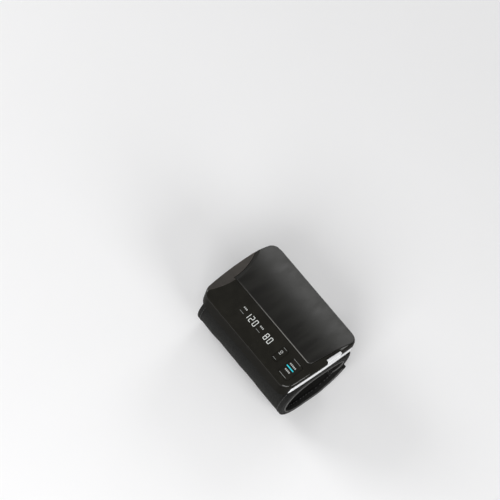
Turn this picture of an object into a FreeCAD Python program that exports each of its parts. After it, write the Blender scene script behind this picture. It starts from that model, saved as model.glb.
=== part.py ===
"""Tubeless upper-arm blood pressure monitor, modelled as the separate pieces that it comes apart into.

Millimetres. X runs along the arm, Y across the monitor, Z up from the floor that the cuff lies on.
The monitor is arched about an axis along X, so most pieces are placed by a radius from that axis
and by an angle round it.
"""
import FreeCAD, Part
import math
import os
import re
import Sketcher

SIZES = [
    ("overall_height", 76.0, "floor to the crest of the battery cover"),
    ("end_room", 12.9, "battery tray to each end of the monitor"),
    ("body_width", 85.0, "monitor across the arm"),
    ("arch_radius", 110.0, "outer face of the top cover, from the arch axis"),
    ("corner_radius", 10.0, "plan corners of the monitor"),
    ("end_bulge", 3.0, "crown of each end in plan"),
    ("edge_round", 2.2, "upper edge of the top cover"),
    ("cover_wall", 2.6, "roof of the top cover"),
    ("cover_side", 2.0, "side walls of the top cover"),
    ("skirt_depth", 14.0, "long side walls, from the outer face down"),
    ("near_depth", 5.5, "near end wall of the cover, from the outer face down"),
    ("far_depth", 8.5, "far end wall of the cover, from the outer face down"),
    ("facet_run", 12.0, "far-end facet, from its crest to the end"),
    ("facet_angle", 25.0, "slope of the far-end facet in degrees"),
    ("facet_offset", 11.0, "middle of the far-end facet, from the crest toward the display"),
    ("panel_rise", 0.6, "battery cover above the top cover"),
    ("panel_thickness", 1.5, "battery cover plate"),
    ("panel_reach", 13.0, "battery cover past the crest, toward the display"),
    ("panel_margin", 1.5, "top cover left beside the battery cover"),
    ("panel_hook_inset", 8.0, "near end to the corner of the battery cover at the display"),
    ("panel_end_inset", 3.0, "near end to the corner of the battery cover at the long side"),
    ("panel_hook_round", 4.5, "battery cover corner at the display"),
    ("panel_end_round", 8.0, "battery cover corner at the long side"),
    ("panel_edge", 0.45, "chamfer along the upper edge of the battery cover"),
    ("slide_gap", 0.33, "clearance round moving pieces"),
    ("shell_gap", 0.2, "clearance between fixed pieces"),
    ("overrun", 5.0, "how far a cut runs past what it cuts"),
    ("clear_height", 40.0, "room that the arched cuts remove"),
    ("case_depth", 15.5, "back of the rear case, from the outer face down"),
    ("case_floor", 2.0, "floor of the rear case"),
    ("case_wall", 1.8, "side walls of the rear case"),
    ("lip_depth", 12.5, "lower edge of the end lips, from the outer face down"),
    ("lip_half_width", 33.0, "end lips at the level of the crest, from the middle"),
    ("lip_splay", 3.0, "how far the end lips widen over the depth of the case"),
    ("display_inset", 16.4, "long side to the middle of the display"),
    ("start_key_inset", 14.7, "near end to the middle of the start key"),
    ("start_key_length", 12.0, "start key along the arm"),
    ("start_key_width", 18.4, "start key across the arm"),
    ("start_key_shift", 1.9, "start key from the middle of the display, away from the crest"),
    ("key_pitch", 16.1, "start key to memory key along the arm"),
    ("memory_key_length", 6.4, "memory key along the arm"),
    ("memory_key_width", 14.4, "memory key across the arm"),
    ("memory_key_shift", 0.0, "memory key from the middle of the display, away from the crest"),
    ("key_round", 2.0, "corners of the keys"),
    ("key_travel", 0.5, "stroke of the keys"),
    ("key_flange", 1.0, "rim that holds a key under the roof"),
    ("key_flange_height", 0.7, "thickness of that rim"),
    ("key_drop", 1.05, "top of that rim below the roof, at the middle of the display"),
    ("key_stem_radius", 1.6, "stem under each key"),
    ("stop_gap", 0.1, "clearance left at the end of a stroke"),
    ("board_inset", 7.0, "near end to the main board"),
    ("board_gap", 2.0, "pump to the main board"),
    ("board_width", 28.6, "main board across the arm"),
    ("board_shift", 6.7, "middle of the main board from the middle of the display, toward the crest"),
    ("board_thickness", 1.2, "main board"),
    ("board_depth", 6.6, "upper face of the main board below the outer face"),
    ("board_hole_inset", 2.6, "board screws from the edges of the board"),
    ("post_radius", 2.0, "posts under the main board"),
    ("board_screw_radius", 0.9, "shank of the board screws"),
    ("board_screw_length", 4.5, "shank of the board screws"),
    ("board_head_radius", 1.7, "head of the board screws"),
    ("board_head_height", 1.0, "head of the board screws"),
    ("switch_size", 6.0, "body of the tact switches"),
    ("switch_height", 1.0, "body of the tact switches"),
    ("switch_plunger_radius", 1.5, "plunger of the tact switches"),
    ("switch_plunger_height", 0.4, "plunger of the tact switches"),
    ("display_key_gap", 6.2, "middle of the memory key to the display module"),
    ("display_board_inset", 5.0, "display module from the far edge of the main board"),
    ("display_width", 14.0, "display module across the arm"),
    ("display_thickness", 1.6, "display module"),
    ("gasket_width", 1.2, "rim of the display gasket"),
    ("gasket_height", 0.9, "display gasket"),
    ("pump_inset", 13.0, "far end to the pump motor"),
    ("motor_length", 12.0, "pump motor"),
    ("motor_diameter", 10.0, "pump motor"),
    ("pump_head_length", 10.0, "diaphragm head of the pump"),
    ("pump_head_width", 12.0, "diaphragm head of the pump"),
    ("pump_head_round", 2.0, "corners of the diaphragm head"),
    ("spigot_radius", 0.9, "air outlets of pump and valve"),
    ("outlet_length", 7.0, "pump head to the air manifold"),
    ("manifold_length", 25.0, "air manifold along the arm"),
    ("manifold_near_y", -9.6, "air manifold, edge toward the crest"),
    ("manifold_width", 16.0, "air manifold across the arm"),
    ("manifold_height", 2.6, "air manifold"),
    ("valve_length", 14.0, "exhaust valve"),
    ("valve_diameter", 4.8, "exhaust valve"),
    ("valve_gap", 2.5, "air manifold to exhaust valve"),
    ("valve_shift", 1.0, "exhaust valve from the middle of the display, away from the crest"),
    ("sensor_size", 7.0, "pressure sensor"),
    ("sensor_shift", 16.0, "far end of the air manifold to the middle of the pressure sensor"),
    ("sensor_reach", 2.5, "pressure sensor from the middle of the display, toward the crest"),
    ("port_shift", 9.0, "far end of the air manifold to the air port"),
    ("port_offset", 14.0, "air port from the crest"),
    ("port_radius", 2.4, "air port"),
    ("port_bore", 1.1, "bore of the air port"),
    ("port_insert", 1.4, "air port inside the manifold"),
    ("seal_width", 0.9, "seal ring round the air port"),
    ("seal_height", 1.0, "seal ring round the air port"),
    ("battery_offset", 17.0, "middle of the cells, from the crest"),
    ("battery_x", -0.5, "middle of the cells along the arm"),
    ("cell_length", 44.5, "AAA cell with its cap"),
    ("cell_diameter", 10.5, "AAA cell"),
    ("cap_diameter", 3.8, "positive cap of a cell"),
    ("cap_height", 1.0, "positive cap of a cell"),
    ("cell_pitch", 11.4, "cell rows side by side"),
    ("cell_gap", 0.2, "cells in their troughs and in line"),
    ("contact_thickness", 0.4, "contact plates"),
    ("contact_width", 8.4, "contact plates"),
    ("contact_height", 7.0, "contact plates"),
    ("bump_height", 1.4, "bow of the sprung contacts"),
    ("bump_radius", 2.4, "bow of the sprung contacts"),
    ("tray_wall", 1.2, "end and side walls of the battery tray"),
    ("tray_base", 0.5, "battery tray under the cells"),
    ("hatch_margin", 0.4, "cell opening of the top cover past the cells"),
    ("sync_offset", 11.0, "middle of the sync button, from the crest"),
    ("sync_width", 16.4, "sync button"),
    ("sync_depth", 2.6, "sync button along the arm"),
    ("sync_drop", 0.7, "top of the sync button below the outer face"),
    ("sync_travel", 0.6, "stroke of the sync button"),
    ("sync_round", 0.9, "edges of the sync button"),
    ("sync_flange", 1.2, "rim that holds the sync button behind the end wall"),
    ("sync_flange_height", 1.8, "height of that rim"),
    ("sync_flange_depth", 0.9, "thickness of that rim"),
    ("sync_stem_length", 2.0, "stem of the sync button"),
    ("sync_stem_size", 2.4, "stem of the sync button"),
    ("sync_switch_depth", 3.4, "sync switch along the arm"),
    ("sync_switch_height", 2.6, "sync switch"),
    ("screw_inset_x", 15.0, "case screws from the ends"),
    ("display_screw_inset", 40.0, "case screw beside the display, from the near end"),
    ("screw_inset_y", 7.0, "case screws from the long sides"),
    ("boss_radius", 2.5, "screw bosses of the top cover"),
    ("screw_radius", 1.0, "shank of the case screws"),
    ("screw_length", 8.0, "shank of the case screws"),
    ("screw_head_radius", 1.8, "head of the case screws"),
    ("screw_head_height", 1.0, "head of the case screws"),
    ("screw_fit", 0.1, "clearance of the screws in their holes"),
    ("rivet_x", 38.0, "cuff rivets from the middle along the arm"),
    ("rivet_radius", 1.4, "shank of the cuff rivets"),
    ("rivet_head_radius", 2.6, "heads of the cuff rivets"),
    ("rivet_head_height", 0.6, "heads of the cuff rivets"),
    ("cuff_near_inset", 0.0, "near end of the monitor to the near end of the cuff"),
    ("cuff_far_inset", 5.0, "far end of the monitor to the far end of the cuff"),
    ("cuff_half_width", 40.0, "cuff loop, from the middle"),
    ("cuff_gap", 0.3, "rear case to the cuff"),
    ("layer_gap", 0.2, "clearance between the layers of the cuff"),
    ("sleeve_thickness", 1.0, "outer fabric"),
    ("curler_thickness", 1.0, "curler sheet"),
    ("bladder_thickness", 2.0, "air bladder, empty"),
    ("lining_thickness", 0.8, "inner fabric"),
    ("binding_width", 2.4, "edge tape at both ends of the cuff"),
    ("tail_radius", 38.0, "cuff loop on the side of the tail"),
    ("heel_y", 12.0, "where the flat underside of the cuff would meet the run up to the tail side"),
    ("heel_radius", 12.0, "bend of the cuff between its flat underside and that run"),
    ("curl_radius", 12.0, "rolled wing of the cuff, inside the closed tail"),
    ("curl_gap", 1.0, "wing to the closed tail"),
    ("curl_end_angle", -125.0, "free edge of the wing round its roll, in degrees"),
    ("curl_pad_angle", 32.0, "closure pad to each side on the rolled wing, in degrees"),
    ("hinge_angle", -21.0, "fold of the tail round the tail side, in degrees"),
    ("tail_end_gap", 1.74, "free edge of the tail under the skirt of the top cover"),
    ("fold_gap", 0.3, "clearance at the fold of the tail"),
    ("tail_thickness", 4.4, "tail fabric with its padding"),
    ("tail_margin", 1.5, "tail short of the ends of the cuff"),
    ("hook_thickness", 0.6, "hook pad on the tail"),
    ("loop_thickness", 0.5, "loop pad on the wing"),
    ("pad_margin", 12.0, "closure pads short of the ends of the cuff"),
    ("pad_edge_angle", 4.0, "closure pads short of fold and free edge, in degrees"),
]

DERIVED = [
    ("cell_room", "cell_length + contact_thickness + bump_height / 2 + cell_gap * 3 / 2",
     "half a row of cells"),
    ("body_length", "2 * ( cell_room + tray_wall + end_room )", "monitor along the arm"),
    ("display_offset", "body_width / 2 - display_inset", "middle of the display, from the crest"),
    ("start_key_x", "body_length / 2 - start_key_inset", "middle of the start key"),
    ("memory_key_x", "start_key_x - key_pitch", "middle of the memory key"),
    ("pump_start_x", "pump_inset - body_length / 2", "far end of the pump motor"),
    ("pump_end_x", "pump_start_x + motor_length + pump_head_length", "near end of the pump head"),
    ("board_start_x", "pump_end_x + board_gap", "far edge of the main board"),
    ("board_length", "body_length / 2 - board_inset - board_start_x", "main board along the arm"),
    ("display_start_x", "board_start_x + display_board_inset", "far end of the display module"),
    ("display_length", "memory_key_x - display_key_gap - display_start_x", "display module along the arm"),
    ("display_x", "display_start_x + display_length / 2", "middle of the display module"),
    ("manifold_start_x", "pump_end_x + outlet_length", "far end of the air manifold"),
    ("sensor_x", "manifold_start_x + sensor_shift", "middle of the pressure sensor"),
    ("port_x", "manifold_start_x + port_shift", "air port"),
]

doc = FreeCAD.newDocument("arm_monitor")
sheet = doc.addObject("Spreadsheet::Sheet", "sizes")
cells = [(alias, str(number), meaning) for alias, number, meaning in SIZES]
cells += [(alias, f"={formula}", meaning) for alias, formula, meaning in DERIVED]
for row, (alias, content, meaning) in enumerate(cells, start=1):
    sheet.set(f"A{row}", content)
    sheet.setAlias(f"A{row}", alias)
    sheet.set(f"B{row}", meaning)
doc.recompute()

NODES = {}
ORIGIN = FreeCAD.Vector(0, 0, 0)
ALONG_X = FreeCAD.Vector(1, 0, 0)
ALONG_Z = FreeCAD.Vector(0, 0, 1)
ALONG_Y = FreeCAD.Vector(0, 1, 0)
QUARTER_TURN = 90
TOLERANCE = 0.001
PIN_SIDES = 12
UPRIGHT_DEGREES = 1
TEST_POINTS = 5
ALIASES = {alias for alias, _, _ in cells}


def size(text):
    """Expression text with every alias in it written as a cell of the sheet."""
    return re.sub(r"\w+", lambda word: f"sizes.{word[0]}" if word[0] in ALIASES else word[0], text)


HALF_LENGTH = size("( body_length / 2 )")
HALF_WIDTH = size("( body_width / 2 )")
ARCH_Z = size("( overall_height - panel_rise - arch_radius )")
CREST_Z = size("( overall_height - panel_rise )")
PRISM_BASE = size("( overall_height - panel_rise - clear_height )")
PRISM_HEIGHT = size("( clear_height + panel_rise + overrun )")
ROOF = size("( arch_radius - cover_wall )")
BACK = size("( arch_radius - case_depth )")
FLOOR = size("( arch_radius - case_depth + case_floor )")
SEAT = f"( {FLOOR} + sizes.slide_gap )"
DISPLAY_ANGLE = size("asin( display_offset / arch_radius )")
FACET_ANGLE = size("asin( facet_offset / arch_radius )")
BATTERY_ANGLE = size("asin( 0 - battery_offset / arch_radius )")
SYNC_ANGLE = size("asin( 0 - sync_offset / arch_radius )")


def calc(text):
    """Value of an expression now, in millimetres or degrees."""
    result = sheet.evalExpression(text)
    return float(getattr(result, "Value", result))


def bind(item, **expressions):
    """Bind properties of an object to expressions; two underscores stand for a dot."""
    for path, text in expressions.items():
        item.setExpression(path.replace("__", "."), text)
    return item


def node(label, item):
    """Name a finished piece, which also names its file."""
    item.Label = label
    NODES[label] = item
    return item


def plane_of(body, role):
    """One of a body's own origin planes."""
    return next(plane for plane in body.Origin.OriginFeatures if plane.Role == role)


def new_sketch(body, role, name, lift="0"):
    """Sketch on an origin plane of its body, lifted off it by an expression."""
    sketch = body.newObject("Sketcher::SketchObject", name)
    sketch.AttachmentSupport = [(plane_of(body, role), "")]
    sketch.MapMode = "FlatFace"
    return bind(sketch, AttachmentOffset__Base__z=lift)


def bind_datum(sketch, kind, place, text):
    """Add a dimension to a sketch and bind it."""
    number = sketch.addConstraint(Sketcher.Constraint(kind, *place, calc(text)))
    sketch.setExpression(f"Constraints[{number}]", text)


def join_ends(sketch, count):
    """Close a ring of sketch curves, each starting where the last one ends."""
    for index in range(count):
        sketch.addConstraint(Sketcher.Constraint("Coincident", index, 2, (index + 1) % count, 1))


def polygon_sketch(body, role, name, points, lift="0"):
    """Closed straight-sided sketch whose corners are bound to expressions."""
    sketch = new_sketch(body, role, name, lift)
    corners = [FreeCAD.Vector(calc(across), calc(up), 0) for across, up in points]
    for start, end in zip(corners, corners[1:] + corners[:1]):
        sketch.addGeometry(Part.LineSegment(start, end))
    join_ends(sketch, len(corners))
    for index, (across, up) in enumerate(points):
        bind_datum(sketch, "DistanceX", (index, 1), across)
        bind_datum(sketch, "DistanceY", (index, 1), up)
    return sketch


def plan_sketch(body, name, inset):
    """Plan of the monitor with its bulged ends, drawn in by an inset."""
    end_radius = size("( ( body_width * body_width / 4 + end_bulge * end_bulge ) / ( 2 * end_bulge ) )")
    centre_x = f"( {HALF_LENGTH} - {end_radius} )"
    radius = f"( {end_radius} - {inset} )"
    side = f"( {HALF_WIDTH} - {inset} )"
    sketch = new_sketch(body, "XY_Plane", name, PRISM_BASE)
    turn = math.asin(calc(side) / calc(radius))
    reach = calc(centre_x) + calc(radius) * math.cos(turn)
    right = Part.Circle(FreeCAD.Vector(calc(centre_x), 0, 0), ALONG_Z, calc(radius))
    left = Part.Circle(FreeCAD.Vector(-calc(centre_x), 0, 0), ALONG_Z, calc(radius))
    sketch.addGeometry(Part.ArcOfCircle(right, -turn, turn))
    sketch.addGeometry(Part.LineSegment(FreeCAD.Vector(reach, calc(side), 0),
                                        FreeCAD.Vector(-reach, calc(side), 0)))
    sketch.addGeometry(Part.ArcOfCircle(left, math.pi - turn, math.pi + turn))
    sketch.addGeometry(Part.LineSegment(FreeCAD.Vector(-reach, -calc(side), 0),
                                        FreeCAD.Vector(reach, -calc(side), 0)))
    join_ends(sketch, sketch.GeometryCount)
    for line, level in ((1, side), (3, f"0 - {side}")):
        sketch.addConstraint(Sketcher.Constraint("Horizontal", line))
        bind_datum(sketch, "DistanceY", (line, 1), level)
    for arc, centre in ((0, centre_x), (2, f"0 - {centre_x}")):
        bind_datum(sketch, "Radius", (arc,), radius)
        bind_datum(sketch, "DistanceX", (arc, 3), centre)
        bind_datum(sketch, "DistanceY", (arc, 3), "0")
    return sketch


def arch_sketch(body, name, outer, inner, half_width):
    """Section across the arch between two radii, cut off straight at both sides."""
    sketch = new_sketch(body, "YZ_Plane", name)
    centre = FreeCAD.Vector(0, calc(ARCH_Z), 0)
    ends = []
    for radius in (outer, inner):
        turn = math.asin(calc(half_width) / calc(radius))
        circle = Part.Circle(centre, ALONG_Z, calc(radius))
        sketch.addGeometry(Part.ArcOfCircle(circle, math.pi / 2 - turn, math.pi / 2 + turn))
        ends.append(calc(ARCH_Z) + calc(radius) * math.cos(turn))
    side = calc(half_width)
    sketch.addGeometry(Part.LineSegment(FreeCAD.Vector(-side, ends[0], 0),
                                        FreeCAD.Vector(-side, ends[1], 0)))
    sketch.addGeometry(Part.LineSegment(FreeCAD.Vector(side, ends[0], 0), FreeCAD.Vector(side, ends[1], 0)))
    for arc, point, line, end in ((0, 2, 2, 1), (1, 2, 2, 2), (0, 1, 3, 1), (1, 1, 3, 2)):
        sketch.addConstraint(Sketcher.Constraint("Coincident", arc, point, line, end))
    sketch.addConstraint(Sketcher.Constraint("Coincident", 0, 3, 1, 3))
    bind_datum(sketch, "DistanceX", (0, 3), "0")
    bind_datum(sketch, "DistanceY", (0, 3), ARCH_Z)
    bind_datum(sketch, "Radius", (0,), outer)
    bind_datum(sketch, "Radius", (1,), inner)
    for line, place in ((2, f"0 - {half_width}"), (3, half_width)):
        sketch.addConstraint(Sketcher.Constraint("Vertical", line))
        bind_datum(sketch, "DistanceX", (line, 1), place)
    return sketch


def pad(body, sketch, length, both_ways=False):
    """Pad a sketch, to one side or evenly to both."""
    feature = body.newObject("PartDesign::Pad", f"{body.Name}_pad")
    feature.Profile = sketch
    feature.SideType = "Symmetric" if both_ways else "One side"
    bind(feature, Length=length)
    doc.recompute()
    return feature


def pocket(body, sketch):
    """Cut a sketch right through its body, evenly to both sides of its plane."""
    before = body.Tip.Shape.Volume
    feature = body.newObject("PartDesign::Pocket", f"{body.Name}_pocket")
    feature.Profile = sketch
    feature.SideType = "Symmetric"
    bind(feature, Length=size("body_length + 2 * overrun"))
    doc.recompute()
    if feature.Shape.Volume >= before:
        raise ValueError(f"{sketch.Name} cuts nothing")


def round_body(body, radius, wanted):
    """Fillet those edges of a body's newest feature that pass a test."""
    base = body.Tip
    names = [f"Edge{index}" for index, edge in enumerate(base.Shape.Edges, start=1) if wanted(edge)]
    feature = body.newObject("PartDesign::Fillet", f"{body.Name}_round")
    feature.Base = (base, names)
    bind(feature, Radius=radius)
    doc.recompute()
    return feature


def middle_of(edge):
    """Point halfway along an edge."""
    return edge.valueAt((edge.FirstParameter + edge.LastParameter) / 2)


def is_upright(edge):
    """Whether an edge runs straight up."""
    steepness = abs(edge.tangentAt(edge.FirstParameter).z)
    return len(edge.Vertexes) == 2 and steepness > math.cos(math.radians(UPRIGHT_DEGREES))


def lies_on_radius(radius):
    """Test for edges that lie on a cylinder about the arch axis."""
    def test(edge):
        points = edge.discretize(TEST_POINTS)
        spread = [math.hypot(point.y, point.z - calc(ARCH_Z)) - calc(radius) for point in points]
        return max(abs(value) for value in spread) < TOLERANCE
    return test


def plan_prism(name, inset):
    """Upright block in the plan of the monitor, drawn in by an inset."""
    body = doc.addObject("PartDesign::Body", name)
    pad(body, plan_sketch(body, f"{name}_plan", inset), PRISM_HEIGHT)
    round_body(body, f"( sizes.corner_radius - {inset} )", is_upright)
    return body


def arch_bar(name, outer, inner, half_width):
    """Arched bar along X between two radii."""
    body = doc.addObject("PartDesign::Body", name)
    pad(body, arch_sketch(body, f"{name}_section", outer, inner, half_width),
        size("body_length + 2 * overrun"), both_ways=True)
    return body


def facet_points(drop):
    """Side view of the wedge above the far-end facet, lowered by an expression."""
    slope = size("tan( facet_angle )")
    left = size("( 0 - body_length / 2 - overrun )")
    crest_x = size("( facet_run - body_length / 2 )")
    top = f"( {CREST_Z} + sizes.overrun )"
    return [
        (left, f"{CREST_Z} - {drop} - ( sizes.facet_run + sizes.overrun ) * {slope}"),
        (f"{crest_x} + ( sizes.overrun + {drop} ) / {slope}", top),
        (left, top),
    ]


def prism(name, role, points, length):
    """Straight-sided bar, evenly to both sides of an origin plane."""
    body = doc.addObject("PartDesign::Body", name)
    pad(body, polygon_sketch(body, role, f"{name}_outline", points), length, both_ways=True)
    return body


def facet_wedge(name, drop):
    """Wedge above the far-end facet, lowered by an expression and turned round the arch."""
    body = prism(name, "XZ_Plane", facet_points(drop), size("2 * body_width"))
    body.Placement = FreeCAD.Placement(ORIGIN, FreeCAD.Rotation(ALONG_X, calc(FACET_ANGLE)))
    return bind(
        body,
        Placement__Rotation__Angle=FACET_ANGLE,
        Placement__Base__y=f"{ARCH_Z} * sin( {FACET_ANGLE} )",
        Placement__Base__z=f"{ARCH_Z} * ( 1 - cos( {FACET_ANGLE} ) )",
    )


def arch_block(name, angle, along, across, radius, corner):
    """Round-cornered block on the arch from (middle, length), (middle, width) and (start, height)."""
    body = doc.addObject("PartDesign::Body", name)
    far, near = f"0 - {along[1]} / 2", f"{along[1]} / 2"
    left, right = f"0 - {across[1]} / 2", f"{across[1]} / 2"
    outline = polygon_sketch(body, "XY_Plane", f"{name}_outline",
                             [(far, left), (near, left), (near, right), (far, right)])
    pad(body, outline, radius[1])
    round_body(body, corner, is_upright)
    body.Placement = FreeCAD.Placement(ORIGIN, FreeCAD.Rotation(ALONG_X, calc(angle)))
    bind(body, Placement__Rotation__Angle=angle)
    return set_on_arch(body, angle, along[0], across[0], radius[0])


def combine(kind, name, pieces):
    """Fuse or intersect a list of objects."""
    item = doc.addObject(f"Part::Multi{kind}", name)
    item.Shapes = pieces
    return item


def cut(name, base, *tools):
    """Cut one or more objects from another."""
    item = doc.addObject("Part::Cut", name)
    item.Base = base
    item.Tool = tools[0] if len(tools) == 1 else combine("Fuse", f"{name}_tools", list(tools))
    return item


def ease_edges(kind, name, base, radius, wanted):
    """Fillet or chamfer those edges of an object that pass a test."""
    doc.recompute()
    item = doc.addObject(f"Part::{kind}", name)
    item.Base = base
    item.Edges = [(index, calc(radius), calc(radius))
                  for index, edge in enumerate(base.Shape.Edges, start=1) if wanted(edge)]
    return item


def group(name, pieces):
    """Several separate solids as one piece."""
    item = doc.addObject("Part::Compound", name)
    item.Links = pieces
    return item


def set_on_arch(item, angle, along, across, radius):
    """Place an object's own origin at a radius and an angle of the arch."""
    return bind(
        item,
        Placement__Base__x=along,
        Placement__Base__y=f"( {across} ) * cos( {angle} ) - ( {radius} ) * sin( {angle} )",
        Placement__Base__z=f"{ARCH_Z} + ( {across} ) * sin( {angle} ) + ( {radius} ) * cos( {angle} )",
    )


def arch_box(name, angle, along, across, radius):
    """Box on the arch from three (start, length) pairs of expressions."""
    item = doc.addObject("Part::Box", name)
    item.Placement = FreeCAD.Placement(ORIGIN, FreeCAD.Rotation(ALONG_X, calc(angle)))
    bind(item, Length=along[1], Width=across[1], Height=radius[1], Placement__Rotation__Angle=angle)
    return set_on_arch(item, angle, along[0], across[0], radius[0])


def arch_pin(name, angle, along, across, start, height, radius):
    """Small pin on the arch that points away from the arch axis."""
    item = doc.addObject("Part::Prism", name)
    item.Polygon = PIN_SIDES
    item.Placement = FreeCAD.Placement(ORIGIN, FreeCAD.Rotation(ALONG_X, calc(angle)))
    bind(item, Circumradius=radius, Height=height, Placement__Rotation__Angle=angle)
    return set_on_arch(item, angle, along, across, start)


def arch_rod(name, angle, along, length, across, level, radius):
    """Cylinder on the arch that lies along X."""
    item = doc.addObject("Part::Cylinder", name)
    item.Placement = FreeCAD.Placement(ORIGIN, FreeCAD.Rotation(ALONG_Y, QUARTER_TURN))
    bind(item, Radius=radius, Height=length)
    return set_on_arch(item, angle, along, across, level)


def arch_cone(name, angle, along, height, across, level, wide, narrow):
    """Cone on the arch whose axis lies along X, from its wide end."""
    item = doc.addObject("Part::Cone", name)
    item.Placement = FreeCAD.Placement(ORIGIN, FreeCAD.Rotation(ALONG_Y, QUARTER_TURN))
    bind(item, Radius1=wide, Radius2=narrow, Height=height)
    return set_on_arch(item, angle, along, across, level)


def upright_pin(name, x, y, start, height, radius):
    """Small pin that stands straight up."""
    item = doc.addObject("Part::Prism", name)
    item.Polygon = PIN_SIDES
    bind(item, Circumradius=radius, Height=height)
    return bind(item, Placement__Base__x=x, Placement__Base__y=y, Placement__Base__z=start)


def make_cover_form():
    """Outside of the top cover: arched roof, rounded rim, far-end facet and long side skirts."""
    body = doc.addObject("PartDesign::Body", "cover_form")
    wide = size("( body_width / 2 + overrun )")
    radius = size("arch_radius")
    pad(body, plan_sketch(body, "cover_plan", "0"), PRISM_HEIGHT)
    round_body(body, size("corner_radius"), is_upright)
    pocket(body, arch_sketch(body, "cover_roof", size("( arch_radius + clear_height )"), radius, wide))
    round_body(body, size("edge_round"), lies_on_radius(radius))
    skirt = size("( arch_radius - skirt_depth )")
    skirt_base = size("( arch_radius - skirt_depth - clear_height )")
    pocket(body, arch_sketch(body, "cover_skirt", skirt, skirt_base, wide))
    return cut("cover_outside", body, facet_wedge("cover_facet", "0"))


FULL_PLAN = plan_prism("full_plan", "0")
ARCH_SIDE = size("( body_width / 2 + overrun )")
ARCH_BELOW = size("( arch_radius - clear_height )")
FACET_DROP = size("( cover_wall / cos( facet_angle ) )")


def splayed_bar(name, extra):
    """Bar along X that limits the end lips at both sides, widened by an expression."""
    top = f"( sizes.lip_half_width + {extra} )"
    base = f"( sizes.lip_half_width + 2 * sizes.lip_splay + {extra} )"
    level = f"( {CREST_Z} - 2 * sizes.case_depth )"
    points = [(f"0 - {base}", level), (base, level), (top, CREST_Z), (f"0 - {top}", CREST_Z)]
    return prism(name, "YZ_Plane", points, size("body_length + 2 * overrun"))


def end_block(name, near, extra):
    """Block at one end of the monitor, as deep as the plan corners."""
    item = doc.addObject("Part::Box", name)
    depth = f"( sizes.corner_radius + {extra} )"
    start = f"{HALF_LENGTH} - {depth}" if near else f"0 - {HALF_LENGTH} - sizes.overrun"
    bind(item, Length=f"{depth} + sizes.overrun", Width=size("body_width + 2 * overrun"), Height=CREST_Z)
    return bind(item, Placement__Base__x=start, Placement__Base__y=f"0 - {HALF_WIDTH} - sizes.overrun")


def end_lip(name, near):
    """Edge of the rear case that fills the relief in one end of the top cover."""
    depth = "near_depth" if near else "far_depth"
    ring = arch_bar(f"{name}_ring", size(f"( arch_radius - {depth} - shell_gap )"),
                    size("( arch_radius - lip_depth )"), ARCH_SIDE)
    return combine("Common", name, [FULL_PLAN, ring, LIP_SIDES, end_block(f"{name}_end", near, "0")])


def end_relief(name, near):
    """Cut in one end wall of the top cover, for the lip of the rear case."""
    depth = "near_depth" if near else "far_depth"
    ring = arch_bar(f"{name}_ring", size(f"( arch_radius - {depth} )"), ARCH_BELOW, ARCH_SIDE)
    return combine("Common", name, [ring, RELIEF_SIDES, end_block(f"{name}_end", near, size("shell_gap"))])


LIP_SIDES = splayed_bar("lip_sides", "0")
RELIEF_SIDES = splayed_bar("relief_sides", size("shell_gap"))

PANEL_TOP = size("( arch_radius + panel_rise )")
PANEL_BASE = size("( arch_radius + panel_rise - panel_thickness )")


def panel_outline(gap):
    """Plan corners of the battery cover, grown by an expression; the far end is cut elsewhere."""
    far = size("( 0 - body_length / 2 - overrun )")
    display_side = f"( 0 - sizes.panel_reach - {gap} )"
    long_side = f"( {HALF_WIDTH} - sizes.panel_margin + {gap} )"
    return [
        (far, display_side),
        (f"{HALF_LENGTH} - sizes.panel_hook_inset + {gap}", display_side),
        (f"{HALF_LENGTH} - sizes.panel_end_inset + {gap}", long_side),
        (far, long_side),
    ]


def stands_at(corner):
    """Test for the upright edge at one corner of an outline."""
    def test(edge):
        point = middle_of(edge)
        return math.hypot(point.x - calc(corner[0]), point.y - calc(corner[1])) < TOLERANCE
    return test


def panel_block(name, gap):
    """Upright block in the plan of the battery cover, with its two round corners at the near end."""
    body = doc.addObject("PartDesign::Body", name)
    outline = panel_outline(gap)
    pad(body, polygon_sketch(body, "XY_Plane", f"{name}_outline", outline, PRISM_BASE), PRISM_HEIGHT)
    round_body(body, f"( sizes.panel_hook_round + {gap} )", stands_at(outline[1]))
    round_body(body, f"( sizes.panel_end_round + {gap} )", stands_at(outline[2]))
    return body


def make_battery_cover():
    """Raised plate that slides off the cells along the arm."""
    plate = arch_bar("panel_plate", PANEL_TOP, PANEL_BASE, ARCH_SIDE)
    inset = plan_prism("panel_plan", size("slide_gap"))
    blank = combine("Common", "panel_blank", [panel_block("panel_edge", "0"), plate, inset])
    eased = ease_edges("Chamfer", "panel_eased", blank, size("panel_edge"), lies_on_radius(PANEL_TOP))
    node("battery_cover", cut("battery_cover", eased, facet_wedge("panel_facet", "0")))


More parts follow.
